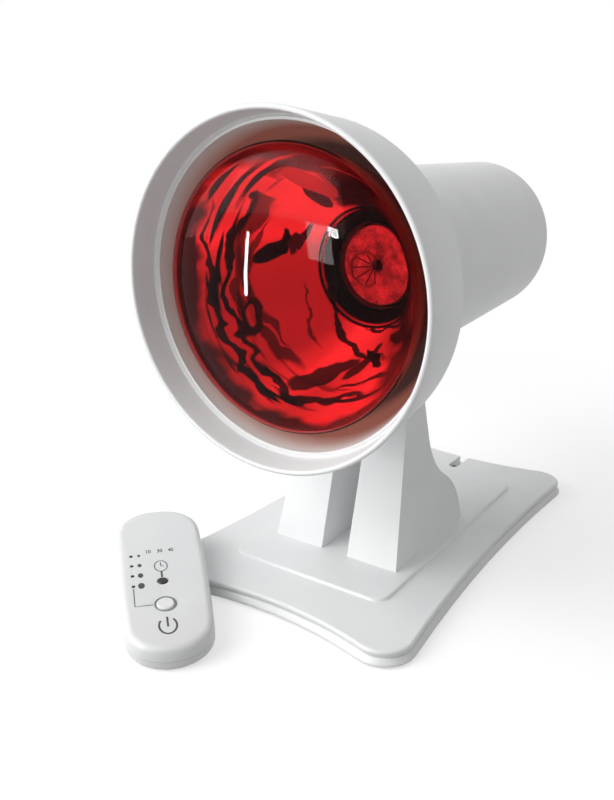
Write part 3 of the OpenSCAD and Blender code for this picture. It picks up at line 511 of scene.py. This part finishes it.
def finish_mesh(bm: Solid, name: str, sharp_deg: float = 35.0) -> Piece:
    """Turns a bmesh into an object at the origin, smooth except at its sharp edges.

    Args:
        bm: the mesh, which is freed.
        name: the object's name.
        sharp_deg: edges sharper than this stay sharp.

    Returns:
        The new object, linked to the scene.
    """
    mesh = bpy.data.meshes.new(name)
    bm.to_mesh(mesh)
    bm.free()
    mesh.shade_smooth()
    mesh.set_sharp_from_angle(angle=math.radians(sharp_deg))
    made = bpy.data.objects.new(name, mesh)
    bpy.context.scene.collection.objects.link(made)
    return made


def settle(piece: Piece, finish: Finish, body: Body,
           replaced: Sequence[str] = ()) -> Piece:
    """Gives a piece its finish, its body and the nodes that it stands for.

    Args:
        piece: the finished object.
        finish: its material.
        body: the body that it rides on.
        replaced: CAD nodes that it stands for.

    Returns:
        The same object.
    """
    piece.data.materials.clear()
    piece.data.materials.append(finish.material())
    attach(piece, body.value)
    if replaced:
        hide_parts(*replaced)
    LOG.info("%s on %s in %s", piece.name, body.value, finish.name)
    return piece


def even_shading(piece: Piece) -> Piece:
    """Adds weighted normals, so that flat faces stay flat beside their rounded edges."""
    modifier = piece.modifiers.new("even_shading", "WEIGHTED_NORMAL")
    modifier.keep_sharp = True
    return piece


def bevelled_copy(node: str, width_mm: float, name: str, segments: int = 3, sharp_deg: float = 35.0,
                  only: Optional[Callable[[Vector], bool]] = None) -> Piece:
    """Copies a CAD node's mesh, merges it and rounds its sharp edges.

    Args:
        node: the CAD node.
        width_mm: width of the rounding.
        name: the new object's name.
        segments: steps in the rounding.
        sharp_deg: edges sharper than this are rounded.
        only: if given, an edge is rounded only where this is true of its middle.

    Returns:
        The new object.
    """
    bm = bmesh.new()
    bm.from_mesh(frame["nodes"][node].data)
    bmesh.ops.remove_doubles(bm, verts=bm.verts, dist=2e-6)
    if width_mm:
        bmesh.ops.dissolve_limit(bm, angle_limit=math.radians(0.2), verts=bm.verts, edges=bm.edges)
        limit = math.radians(sharp_deg)
        sharp = [e for e in bm.edges if len(e.link_faces) == 2 and e.calc_face_angle(0) > limit
                 and (only is None or only((e.verts[0].co + e.verts[1].co) / 2))]
        bmesh.ops.bevel(bm, geom=sharp, offset=width_mm * MM, offset_type="OFFSET", segments=segments,
                        affect="EDGES", profile=0.5, clamp_overlap=True, material=-1)
    return even_shading(finish_mesh(bm, name, 40))


def filleted(corners: Sequence[Point3], closed: bool, steps: int = 6) -> list[Point2]:
    """Rounds the corners of a flat path.

    Args:
        corners: x, y and corner radius of each corner.
        closed: whether the last corner joins the first.
        steps: steps in each rounding.

    Returns:
        The points of the rounded path.
    """
    points: list[Point2] = []
    count = len(corners)
    for i, (x, y, r) in enumerate(corners):
        here = Vector((x, y))
        if r <= 0 or (not closed and i in (0, count - 1)):
            points.append((x, y))
            continue
        back = (Vector(corners[i - 1][:2]) - here).normalized()
        on = (Vector(corners[(i + 1) % count][:2]) - here).normalized()
        half = back.angle(on) / 2
        reach = r / math.tan(half)
        centre = here + (back + on).normalized() * (r / math.sin(half))
        first, last = here + back * reach - centre, here + on * reach - centre
        sweep = first.angle_signed(last)
        for k in range(steps + 1):
            turned = Matrix.Rotation(-sweep * k / steps, 2) @ first
            points.append(tuple(centre + turned))
    return points


def loft(rings: Sequence[tuple[float, Sequence[Point2]]]) -> Solid:
    """Makes a closed solid through rings that have the same number of points.

    Args:
        rings: height and points of each ring in millimetres, counter-clockwise from above, listed
            upwards.

    Returns:
        The solid, with its faces outwards.
    """
    bm = bmesh.new()
    rows = [[bm.verts.new((x * MM, y * MM, z * MM)) for x, y in points] for z, points in rings]
    bm.faces.new(list(reversed(rows[0])))
    bm.faces.new(rows[-1])
    for low, high in zip(rows, rows[1:]):
        for i in range(len(low)):
            k = (i + 1) % len(low)
            bm.faces.new((low[i], low[k], high[k], high[i]))
    return bm


# ---- base and stand


@dataclass(frozen=True)
class HollowOutline:
    """A four-cornered outline with round corners and hollow sides, drawn counter-clockwise."""

    corners: tuple[Point2, ...]
    radii: tuple[float, ...]
    sides: tuple[float, ...]

    def centre(self, k: int) -> Vector:
        """Centre of the circle of side k, which touches both its corner circles from outside."""
        c, d = Vector(self.corners[k]), Vector(self.corners[(k + 1) % 4])
        r, s, h = self.radii[k], self.radii[(k + 1) % 4], self.sides[k]
        a, b, gap = abs(h + r), abs(h + s), (d - c).length
        u = (d - c) / gap
        t = (a * a - b * b + gap * gap) / (2 * gap)
        return c + t * u + math.copysign(math.sqrt(a * a - t * t), h) * Vector((u.y, -u.x))

    def points(self, inset: float = 0.0, corner_steps: int = 18, side_steps: int = 22) -> list[Point2]:
        """Points of the outline.

        Args:
            inset: how far the outline is drawn in.
            corner_steps: steps round each corner.
            side_steps: steps along each side.

        Returns:
            The points in millimetres, counter-clockwise from above.
        """
        found: list[Point2] = []
        centres = [self.centre(k) for k in range(4)]
        for k in range(4):
            corner, following = Vector(self.corners[k]), Vector(self.corners[(k + 1) % 4])
            came = (centres[k - 1] - corner) / (self.sides[k - 1] + self.radii[k])
            goes = (centres[k] - corner) / (self.sides[k] + self.radii[k])
            meets = (centres[k] - following) / (self.sides[k] + self.radii[(k + 1) % 4])
            start = math.atan2(came.y, came.x)
            sweep = (math.atan2(goes.y, goes.x) - start) % (2 * math.pi)
            r = self.radii[k] - inset
            for i in range(corner_steps + 1):
                a = start + sweep * i / corner_steps
                found.append(tuple(corner + r * Vector((math.cos(a), math.sin(a)))))
            p = corner + r * goes
            q = following + (self.radii[(k + 1) % 4] - inset) * meets
            reach = abs(self.sides[k] + inset)
            for i in range(1, side_steps):
                way = (p + (q - p) * i / side_steps - centres[k]).normalized()
                found.append(tuple(centres[k] + reach * way))
        return found


@dataclass
class WeightedBase:
    """The flat two-part base with its cord notch and rubber feet. Sizes are in millimetres."""

    front_w: float = 148.0
    back_w: float = 136.0
    length: float = 237.6
    corner: float = 16.0
    end_hollow: float = 190.0
    side_hollow: float = 1100.0
    notch_w: float = 6.0
    notch_y: float = 90.0
    foot_h: float = 1.0
    # Height of each ring of the upper shell, and how far it is drawn in
    shell_rings: tuple[Point2, ...] = ((5.0, 2.1), (5.6, 1.9), (6.3, 1.5), (7.1, 1.3), (7.8, 1.5), (8.1, 1.75),
                                       (8.3, 2.05), (8.45, 2.45), (8.5, 2.9))

    def outline(self) -> HollowOutline:
        """The outline of the base where it is widest."""
        fx, bx = self.front_w / 2 - self.corner, self.back_w / 2 - self.corner
        y = self.length / 2 - self.corner
        return HollowOutline(((-fx, -y), (fx, -y), (bx, y), (-bx, y)), (self.corner,) * 4,
                             (self.end_hollow, self.side_hollow, self.end_hollow, self.side_hollow))

    def notched(self, inset: float) -> list[Point2]:
        """The outline drawn in, with the cord notch let into its back edge."""
        half, spare = self.notch_w / 2, 1.2
        whole, drawn = self.outline().points(0.0), self.outline().points(inset)
        kept = [i for i, p in enumerate(whole) if abs(p[0]) > half + spare or p[1] < 0]
        gap = next(k for k, i in enumerate(kept) if whole[i][0] < 0 < whole[kept[k - 1]][0] and whole[i][1] > 0)
        edge_y = max(p[1] for p in drawn if abs(p[0]) < half + 2 * spare and p[1] > 0)
        bow = [(half * math.cos(a), self.notch_y + half + half * math.sin(a))
               for a in (-math.pi * i / 12 for i in range(13))]
        lead = [(0.7, 0.0), (0.25, 0.25), (0.0, 0.7)]
        notch = [*[(half + out, edge_y - down) for out, down in lead], *bow,
                 *[(-half - out, edge_y - down) for out, down in reversed(lead)]]
        points = [drawn[i] for i in kept]
        return points[:gap] + notch + points[gap:]

    def tray(self) -> Piece:
        """The lower tray, copied from the CAD with its underside filled anew inside its outline."""
        copied = bevelled_copy("base_tray", 0.0, "lower_tray")
        bm = bmesh.new()
        bm.from_mesh(copied.data)
        under = [f for f in bm.faces if all(abs(v.co.z - self.foot_h * MM) < 1e-6 for v in f.verts)]
        bmesh.ops.delete(bm, geom=under, context="FACES")
        rim = [e for e in bm.edges if e.is_boundary]
        bmesh.ops.triangle_fill(bm, use_beauty=True, use_dissolve=False, edges=rim, normal=(0, 0, -1))
        bm.to_mesh(copied.data)
        bm.free()
        return copied

    def build(self) -> None:
        """Builds the base's visible pieces and dresses its hidden ones."""
        shell = loft([(height, self.notched(inset)) for height, inset in self.shell_rings])
        upper = even_shading(finish_mesh(shell, "upper_shell"))
        for piece, node in ((upper, "base_top_shell"), (self.tray(), "base_tray")):
            settle(piece, WHITE_ABS, Body.BASE, [node])
        for node, edge, name in (("rubber_feet", 0.35, "feet"), ("cord_inlet", 0.25, "cord_grommet")):
            settle(bevelled_copy(node, edge, name), CHARCOAL_RUBBER, Body.BASE, [node])


@dataclass
class ForkStand:
    """The two-legged stand on its raised pad, with the tilt bolt's caps."""

    edge: float = 0.7
    cap_edge: float = 0.3
    # The edge where the pad meets the base, which is 8.5 high, isn't rounded
    foot_z: float = 8.7

    def build(self) -> None:
        """Builds the stand and its caps from their CAD forms with rounded edges."""
        stand = bevelled_copy("stand", self.edge, "fork_stand", 3, 30, lambda p: p.z > self.foot_z * MM)
        caps = bevelled_copy("pivot_caps", self.cap_edge, "bolt_caps")
        for piece, node in ((stand, "stand"), (caps, "pivot_caps")):
            settle(piece, WHITE_ABS, Body.BASE, [node])


# ---- head


@dataclass
class LampHead:
    """The round hood, its housing and the enamelled dish, all turned about the head's axis."""

    axis_z: float = 158.3
    rim_y: float = -114.6
    rim_r: float = 80.0
    shade_back_r: float = 74.6
    shade_d: float = 39.0
    shoulder_d: float = 88.0
    tube_front_r: float = 49.4
    tube_back_r: float = 44.1
    depth: float = 225.8
    rear_round: float = 7.2
    wall: float = 2.5
    ledge_d: float = 13.5
    dish_d: float = 14.6
    spigot_d: float = 32.0
    cover_r: float = 31.0
    neck_d: float = 96.0
    neck_r: float = 32.0

    def turned(self, profile: Sequence[Point2], closed: bool = True, steps: int = 240) -> Solid:
        """Spins a profile of radius and depth about the head's axis.

        Args:
            profile: radius and depth behind the rim, in millimetres.
            closed: whether the profile's last point joins its first.
            steps: steps in the full turn.

        Returns:
            The turned form, with its faces outwards.
        """
        bm = bmesh.new()
        verts = [bm.verts.new((r * MM, (self.rim_y + d) * MM, self.axis_z * MM)) for r, d in profile]
        pairs = list(zip(verts, verts[1:])) + ([(verts[-1], verts[0])] if closed else [])
        edges = [bm.edges.new(pair) for pair in pairs]
        bmesh.ops.spin(bm, geom=verts + edges, cent=(0, self.rim_y * MM, self.axis_z * MM), axis=(0, 1, 0),
                       angle=2 * math.pi, steps=steps, use_merge=True, use_duplicate=False)
        bmesh.ops.remove_doubles(bm, verts=bm.verts, dist=1e-6)
        bmesh.ops.recalc_face_normals(bm, faces=bm.faces)
        return bm

    def shade_r(self, d: float) -> float:
        """Outer radius of the hood's front ring at depth d."""
        return self.rim_r + (self.shade_back_r - self.rim_r) * d / self.shade_d

    def shade_ring(self) -> list[Point2]:
        """Profile of the front ring, with its rounded lip and the ledge inside it."""
        back, inner = self.shade_r(self.spigot_d), self.shade_r(self.ledge_d) - self.wall
        return filleted([
            (self.rim_r, 0, 1.25), (self.shade_back_r, self.shade_d, 0.9), (self.shade_back_r - 1.8, self.shade_d, 0),
            (back - 1.7, self.spigot_d, 0), (back - self.wall - 1.4, self.spigot_d, 0),
            (inner - 1.2, self.ledge_d + 1.1, 0.2), (inner, self.ledge_d - 0.6, 0.5), (self.rim_r - 2.6, 0, 1.25)],
            True, 6)

    def housing(self) -> list[Point2]:
        """Profile of the shoulder and tube in one moulding, with the seat for the rear cover."""
        seat, mouth_d = self.depth - 3.4, self.spigot_d + 0.4
        return filleted([
            (self.shade_back_r - 1.9, self.shade_d + 0.3, 0), (self.shade_back_r - 0.25, self.shade_d + 0.3, 0.25),
            (self.tube_front_r, self.shoulder_d, 26), (self.tube_back_r, self.depth, self.rear_round),
            (self.cover_r, self.depth, 0.4), (self.cover_r, seat, 0), (25, seat, 0), (25, seat - 2.4, 0),
            (self.tube_back_r - self.wall, seat - 6, 0), (self.tube_front_r - self.wall, self.shoulder_d, 0),
            (self.shade_back_r - self.wall - 1.5, self.shade_d + 2, 0), (self.shade_back_r - 3.4, mouth_d, 0),
            (self.shade_back_r - 1.9, mouth_d, 0)], True, 8)

    def dish(self) -> list[Point2]:
        """Profile of the spun dish between the ledge and the bulb's neck."""
        front, drop = self.shade_r(self.dish_d) - self.wall - 1.5, self.neck_d - self.dish_d
        face = [(self.neck_r + (front - self.neck_r) * (1 - (i / 40) ** 1.45), self.dish_d + drop * i / 40)
                for i in range(41)]
        back = self.neck_d + 2.4
        return [*[(r - 0.8, d) for r, d in face], (self.neck_r - 2, back), (self.neck_r, back), *reversed(face),
                (front + 0.4, self.dish_d), (front + 0.4, self.dish_d - 0.3), (front - 0.8, self.dish_d - 0.3)]

    def build(self) -> None:
        """Builds the head's pieces."""
        for profile, name, finish, slot, node in (
                (self.shade_ring(), "front_ring", WHITE_ABS, "white_plastic", "shade_ring"),
                (self.housing(), "housing", WHITE_ABS, "white_plastic", "housing_shell"),
                (self.dish(), "reflector", DISH_ENAMEL, "white_enamel", "reflector_dish")):
            settle(finish_mesh(self.turned(profile), name), finish, Body.HEAD, [node])
        for node, edge, name, segments in (("rear_cover", 0.2, "vent_cover", 2), ("tilt_lug", 0.5, "head_lug", 3)):
            settle(bevelled_copy(node, edge, name, segments), WHITE_ABS, Body.HEAD, [node])


@dataclass
class InfraredBulb:
    """The red reflector bulb: its glass and its silvered bowl."""

    head: LampHead
    radius: float = 65.0
    wide_d: float = 16.0
    dome_h: float = 13.5
    bowl_l: float = 80.0
    neck_r: float = 24.0
    glass: float = 1.2
    coat_gap: float = 0.1
    coat: float = 0.35

    def face_d(self, r: float) -> float:
        """Depth of the domed face at radius r."""
        return self.wide_d - self.dome_h * max(0.0, 1 - (r / self.radius) ** 2.2) ** (1 / 2.2)

    def bowl_r(self, t: float) -> float:
        """Radius of the bowl at the share t of its length."""
        return math.sqrt(self.neck_r ** 2 + (self.radius ** 2 - self.neck_r ** 2) * (1 - t ** 1.35))

    def outer(self) -> list[Point2]:
        """Outer profile of the glass, from the middle of its face to its cap."""
        radii = [self.radius * math.sin(math.pi / 2 * i / 36) for i in range(37)]
        face = [(r, self.face_d(r)) for r in radii]
        bowl = [(self.bowl_r(i / 40), self.wide_d + self.bowl_l * i / 40) for i in range(1, 41)]
        neck = filleted([(self.neck_r, self.wide_d + self.bowl_l, 0), (22.4, 100, 6), (17.6, 130, 20),
                         (16, 141, 3), (12.4, 144.6, 0.5), (12.4, 146, 0)], False, 5)
        return face + bowl + neck[1:]

    def build(self) -> None:
        """Builds the bulb's pieces."""
        outer = self.outer()
        inner: list[Point2] = []
        for r, d in outer:
            if d <= self.wide_d and r <= self.radius:
                s = r * (self.radius - self.glass) / self.radius
                inner.append((s, self.face_d(r) + self.glass * (1 - (r / self.radius) ** 2)))
            else:
                inner.append((r - self.glass, d))
        glass = self.head.turned([*outer, *reversed(inner)], False, 240)
        lens = settle(finish_mesh(glass, "red_bulb"), RUBY_GLASS, Body.HEAD, ["bulb_glass"])
        bowl = [(self.bowl_r(i / 60) - self.glass - self.coat_gap, self.wide_d + self.bowl_l * i / 60)
                for i in range(61)]
        coat = [*bowl, *[(r - self.coat, d) for r, d in reversed(bowl)]]
        silver = settle(finish_mesh(self.head.turned(coat), "silver_bowl"), SILVER, Body.HEAD,
                        ["bulb_mirror"])
        # Left out of diffuse light, so that the unlit bulb doesn't redden the white hood
        lens.visible_diffuse = silver.visible_diffuse = False


# ---- hand control


@dataclass(frozen=True)
class PrintedMarks:
    """The marks that are pad-printed on the hand control's face: four growing dots beside the
    lights, the minutes, a clock over the timer button and the power sign. Sizes are in
    millimetres on the control's own face."""

    face_z: float = 12.5
    ink_z: float = 0.03
    tall: float = 1.35
    light_x: float = -14.8
    dot_x: float = -11.0
    dots: tuple[Point2, ...] = ((70.3, 0.75), (62.4, 1.0), (54.5, 1.3), (46.6, 1.6))
    numerals: tuple[tuple[str, float], ...] = (("10", -6.3), ("30", -0.5), ("40", 5.1))
    numeral_y: float = 71.6
    numeral_size: float = 2.75
    clock: Point2 = (-0.8, 60.4)
    clock_r: float = 3.1
    clock_stem_y: float = 51.6
    power: Point2 = (-0.9, 16.8)
    power_r: float = 4.0
    thin: float = 0.5
    bold: float = 0.95

    def arc(self, centre: Point2, r: float, start: float, end: float, steps: int) -> list[Point2]:
        """Points of an arc between two angles in degrees, drawn taller than it is wide."""
        turns = (math.radians(start + (end - start) * i / steps) for i in range(steps + 1))
        return [(centre[0] + r * math.cos(a), centre[1] + r * self.tall * math.sin(a)) for a in turns]

    def ribbon(self, bm: Solid, path: Sequence[Point2], width: float) -> None:
        """Adds a flat line of ink.

        Args:
            bm: the mesh.
            path: points of its middle. A closed path ends where it starts.
            width: its width.
        """
        closed = (Vector(path[0]) - Vector(path[-1])).length < 1e-6
        points = [Vector(p) for p in (path[:-1] if closed else path)]
        count = len(points)
        rows = []
        for i, point in enumerate(points):
            back = points[i - 1] if closed or i else point
            on = points[(i + 1) % count] if closed or i < count - 1 else point
            way = (on - back).normalized()
            side = Vector((-way.y, way.x)) * width / 2
            rows.append([bm.verts.new((*(point + side * k), 0.0)) for k in (1, -1)])
        pairs = list(zip(rows, rows[1:])) + ([(rows[-1], rows[0])] if closed else [])
        for a, b in pairs:
            bm.faces.new((a[0], a[1], b[1], b[0]))

    def blot(self, bm: Solid, centre: Point2, r: float) -> None:
        """Adds a flat round dot of ink."""
        bm.faces.new([bm.verts.new((x, y, 0.0)) for x, y in self.arc(centre, r, 0, 345, 23)])

    def numeral(self, bm: Solid, text: str, x: float) -> None:
        """Adds a number as a mesh of its filled outline."""
        curve = bpy.data.curves.new("numeral", "FONT")
        curve.body, curve.size, curve.align_x, curve.offset = text, self.numeral_size, "CENTER", 0.05
        holder = bpy.data.objects.new("numeral", curve)
        mesh = bpy.data.meshes.new_from_object(holder)
        for vert in mesh.vertices:
            vert.co = (vert.co.x + x, vert.co.y * self.tall + self.numeral_y, 0.0)
        bm.from_mesh(mesh)
        for used, store in ((holder, bpy.data.objects), (curve, bpy.data.curves), (mesh, bpy.data.meshes)):
            store.remove(used)

    def build(self, local: Matrix) -> None:
        """Prints the marks on the face of the control whose own frame is given."""
        bm = bmesh.new()
        for y, r in self.dots:
            self.blot(bm, (self.dot_x, y), r)
        for text, x in self.numerals:
            self.numeral(bm, text, x)
        cx, cy = self.clock
        self.ribbon(bm, self.arc(self.clock, self.clock_r, 0, 360, 40), self.thin)
        self.ribbon(bm, [(cx, cy + self.clock_r * 0.95), (cx, cy), (cx + self.clock_r * 0.5, cy - 0.3)], self.thin)
        self.ribbon(bm, [(cx, cy - self.clock_r * self.tall), (cx, self.clock_stem_y)], self.bold)
        px, py = self.power
        self.ribbon(bm, self.arc(self.power, self.power_r, 140, 409, 40), self.bold)
        self.ribbon(bm, [(px, py + self.power_r * self.tall * 1.08), (px, py - 0.8)], self.bold)
        self.ribbon(bm, [(self.light_x, 45.0), (self.light_x, 31.9), (-6.5, 31.9)], self.thin)
        bmesh.ops.recalc_face_normals(bm, faces=bm.faces)
        raised = bmesh.ops.extrude_face_region(bm, geom=bm.faces[:])["geom"]
        raised = [v for v in raised if isinstance(v, bmesh.types.BMVert)]
        bmesh.ops.translate(bm, vec=(0, 0, 2 * self.ink_z), verts=raised)
        bmesh.ops.translate(bm, vec=(0, 0, self.face_z - self.ink_z), verts=bm.verts)
        bmesh.ops.recalc_face_normals(bm, faces=bm.faces)
        bmesh.ops.transform(bm, matrix=local @ Matrix.Scale(MM, 4), verts=bm.verts)
        settle(finish_mesh(bm, "control_marks"), PRINT_INK, Body.HANDSET)


@dataclass
class HandControl:
    """The hand control, leaning on the base's front corner. Its own X is its width, Y runs to
    its upper end and Z is up from its back."""

    place: Point2 = (-9.2, -170.3)
    turn_deg: float = 47.1
    lift_deg: float = 8.2
    back_round: float = 3.0

    def local(self) -> Matrix:
        """The control's own frame, with its origin in metres."""
        lift = math.radians(self.lift_deg)
        seat = self.back_round * (1 - math.sin(lift) - math.cos(lift))
        return (Matrix.Translation(Vector((*self.place, seat)) * MM)
                @ Matrix.Rotation(math.radians(self.turn_deg), 4, "Z") @ Matrix.Rotation(lift, 4, "X"))

    def build(self) -> None:
        """Builds the hand control's pieces."""
        for node, finish, slot, body, edge in (
                ("handset_top_shell", HANDSET_ABS, "handset_plastic", Body.HANDSET, 0.0),
                ("handset_bottom_shell", HANDSET_ABS, "handset_plastic", Body.HANDSET, 0.0),
                ("power_button", BUTTON_ABS, "button_white", Body.POWER, 0.25),
                ("button_ring", RING_ABS, "ring_grey", Body.HANDSET, 0.1),
                ("timer_button", BLACK_ABS, "button_black", Body.TIMER, 0.2),
                ("handset_cord_inlet", CHARCOAL_RUBBER, "black_rubber", Body.HANDSET, 0.2)):
            piece = bevelled_copy(node, edge, "control_" + node.replace("handset_", ""))
            settle(piece, finish, body, [node])
        PrintedMarks().build(self.local())


# ---- studio


@dataclass(frozen=True)
class Studio:
    """The camera of the photograph, the white sweep and the soft lights."""

    eye: Point3 = (0.22515, -0.41384, 0.24344)
    focal_px: float = 894.3
    azimuth: float = 34.087
    elevation: float = 19.202
    roll: float = 0.465
    frame_px: tuple[int, int] = (614, 800)
    fill: float = 0.4
    middle: Point3 = (0.0, 0.0, 0.1)
    dome: Point3 = (0.0, -0.11, 0.17)
    # Name, place, size, watts, and whether it only shows as a highlight on the bulb's dome
    lamps: tuple[tuple[str, Point3, Point2, float, bool], ...] = (
        ("front", (-0.8, -1.35, 0.75), (1.2, 1.0), 9.7, False),
        ("left", (-1.5, -0.6, 0.6), (1.2, 1.0), 5.6, False),
        ("above", (-0.7, -1.0, 1.3), (1.2, 1.0), 10.4, False),
        ("slender", (-0.400, -0.557, 0.101), (0.010, 0.145), 0.95, True),
        ("pane", (-0.282, -1.057, 0.256), (0.066, 0.05), 1.7, True),
        ("window", (-0.365, -1.032, 0.182), (0.14, 0.17), 1.5, True),
    )

    def camera(self) -> None:
        """Makes the camera and gives it to the scene."""
        a, e, r = (math.radians(v) for v in (self.azimuth, self.elevation, self.roll))
        back = Vector((math.sin(a) * math.cos(e), -math.cos(a) * math.cos(e), math.sin(e)))
        level = (-back).cross(Vector((0, 0, 1))).normalized()
        upright = level.cross(-back)
        right = level * math.cos(r) + upright * math.sin(r)
        up = upright * math.cos(r) - level * math.sin(r)
        data = bpy.data.cameras.new("camera")
        data.sensor_width = 36.0
        data.lens = self.focal_px * data.sensor_width / max(self.frame_px)
        data.clip_start, data.clip_end = 0.01, 50.0
        made = bpy.data.objects.new("camera", data)
        made.matrix_world = Matrix.Translation(self.eye) @ Matrix((right, up, back)).transposed().to_4x4()
        bpy.context.scene.collection.objects.link(made)
        bpy.context.scene.camera = made

    def world(self) -> None:
        """White to the camera, in reflections and through glass, and a soft fill for the rest."""
        world = bpy.data.worlds.new("studio")
        world.use_nodes = True
        tree = world.node_tree
        tree.nodes.clear()
        strength = add_node(tree, "MapRange", {"Value": background_rays(tree), "To Min": self.fill, "To Max": 1.0})
        sky = add_node(tree, "Background", {"Color": FULL_WHITE, "Strength": strength})
        add_node(tree, "OutputWorld", {"Surface": sky})
        bpy.context.scene.world = world

    def floor(self) -> None:
        """A pale sweep that shows white and keeps the lamp's shadow."""
        bm = bmesh.new()
        bmesh.ops.create_grid(bm, x_segments=1, y_segments=1, size=6.0)
        bmesh.ops.translate(bm, vec=(0, 0, -0.0001), verts=bm.verts)
        sweep = finish_mesh(bm, "sweep")
        sweep.data.materials.append(PaperSweep("white paper sweep").material())

    def lamp(self, name: str, place: Point3, size: Point2, watts: float, mirrored_only: bool) -> None:
        """Adds one soft rectangular lamp, which the camera doesn't see.

        Args:
            name: the lamp's name.
            place: where it hangs.
            size: its width and height in metres.
            watts: its power.
            mirrored_only: whether it only shows as a highlight on gloss, and faces the bulb's dome.
        """
        data = bpy.data.lights.new(name, "AREA")
        data.shape = "RECTANGLE"
        data.size, data.size_y = size
        data.energy = watts
        made = bpy.data.objects.new(name, data)
        way = Vector(self.dome if mirrored_only else self.middle) - Vector(place)
        made.matrix_world = Matrix.Translation(place) @ way.to_track_quat("-Z", "Y").to_matrix().to_4x4()
        made.visible_camera = False
        if mirrored_only:
            made.visible_diffuse = made.visible_transmission = False
        bpy.context.scene.collection.objects.link(made)

    def build(self) -> None:
        """Sets up the whole studio."""
        bpy.context.scene.view_settings.view_transform = "Standard"
        self.camera()
        self.world()
        self.floor()
        for lamp in self.lamps:
            self.lamp(*lamp)


@dataclass(frozen=True)
class HiddenParts:
    """The CAD nodes that stay as they are and only get their finish."""

    finishes: tuple[tuple[Finish, str], ...] = (
        (ZINC_STEEL, "base_screws stand_screws pivot_bolt pivot_nut friction_washers lug_screws "
                     "rear_cover_screws socket_plate plate_screws handset_screws"),
        (BALLAST_IRON, "ballast_plate"),
        (NATURAL_NYLON, "terminal_block"),
        (WIRE_PVC, "base_wires head_wires"),
        (BRASS, "lug_bush socket_sleeve socket_contact bulb_cap"),
        (GLAZED_CERAMIC, "lamp_socket"),
        (VITRITE, "bulb_tip"),
        (CLEAR_GLASS, "bulb_stem"),
        (HEAT_SHIELD, "neck_disc"),
        (TUNGSTEN, "filament_supports filament"),
        (SMOKED_WINDOW, "led_windows"),
        (SOLDER_MASK, "circuit_board"),
        (SWITCH_BODY, "button_switches"),
    )

    def build(self) -> None:
        """Gives each node its material and logs it."""
        for finish, names in self.finishes:
            for name in names.split():
                node = frame["nodes"][name]
                node.data.materials.clear()
                node.data.materials.append(finish.material())
                LOG.info("%s kept from the CAD in %s", name, finish.name)


def main() -> None:
    """Builds the lamp, its hand control and the studio."""
    logging.basicConfig(level=logging.INFO, format="%(name)s: %(message)s")
    Studio().build()
    WeightedBase().build()
    ForkStand().build()
    head = LampHead()
    head.build()
    InfraredBulb(head).build()
    HandControl().build()
    HiddenParts().build()


if __name__ == "__main__":
    main()
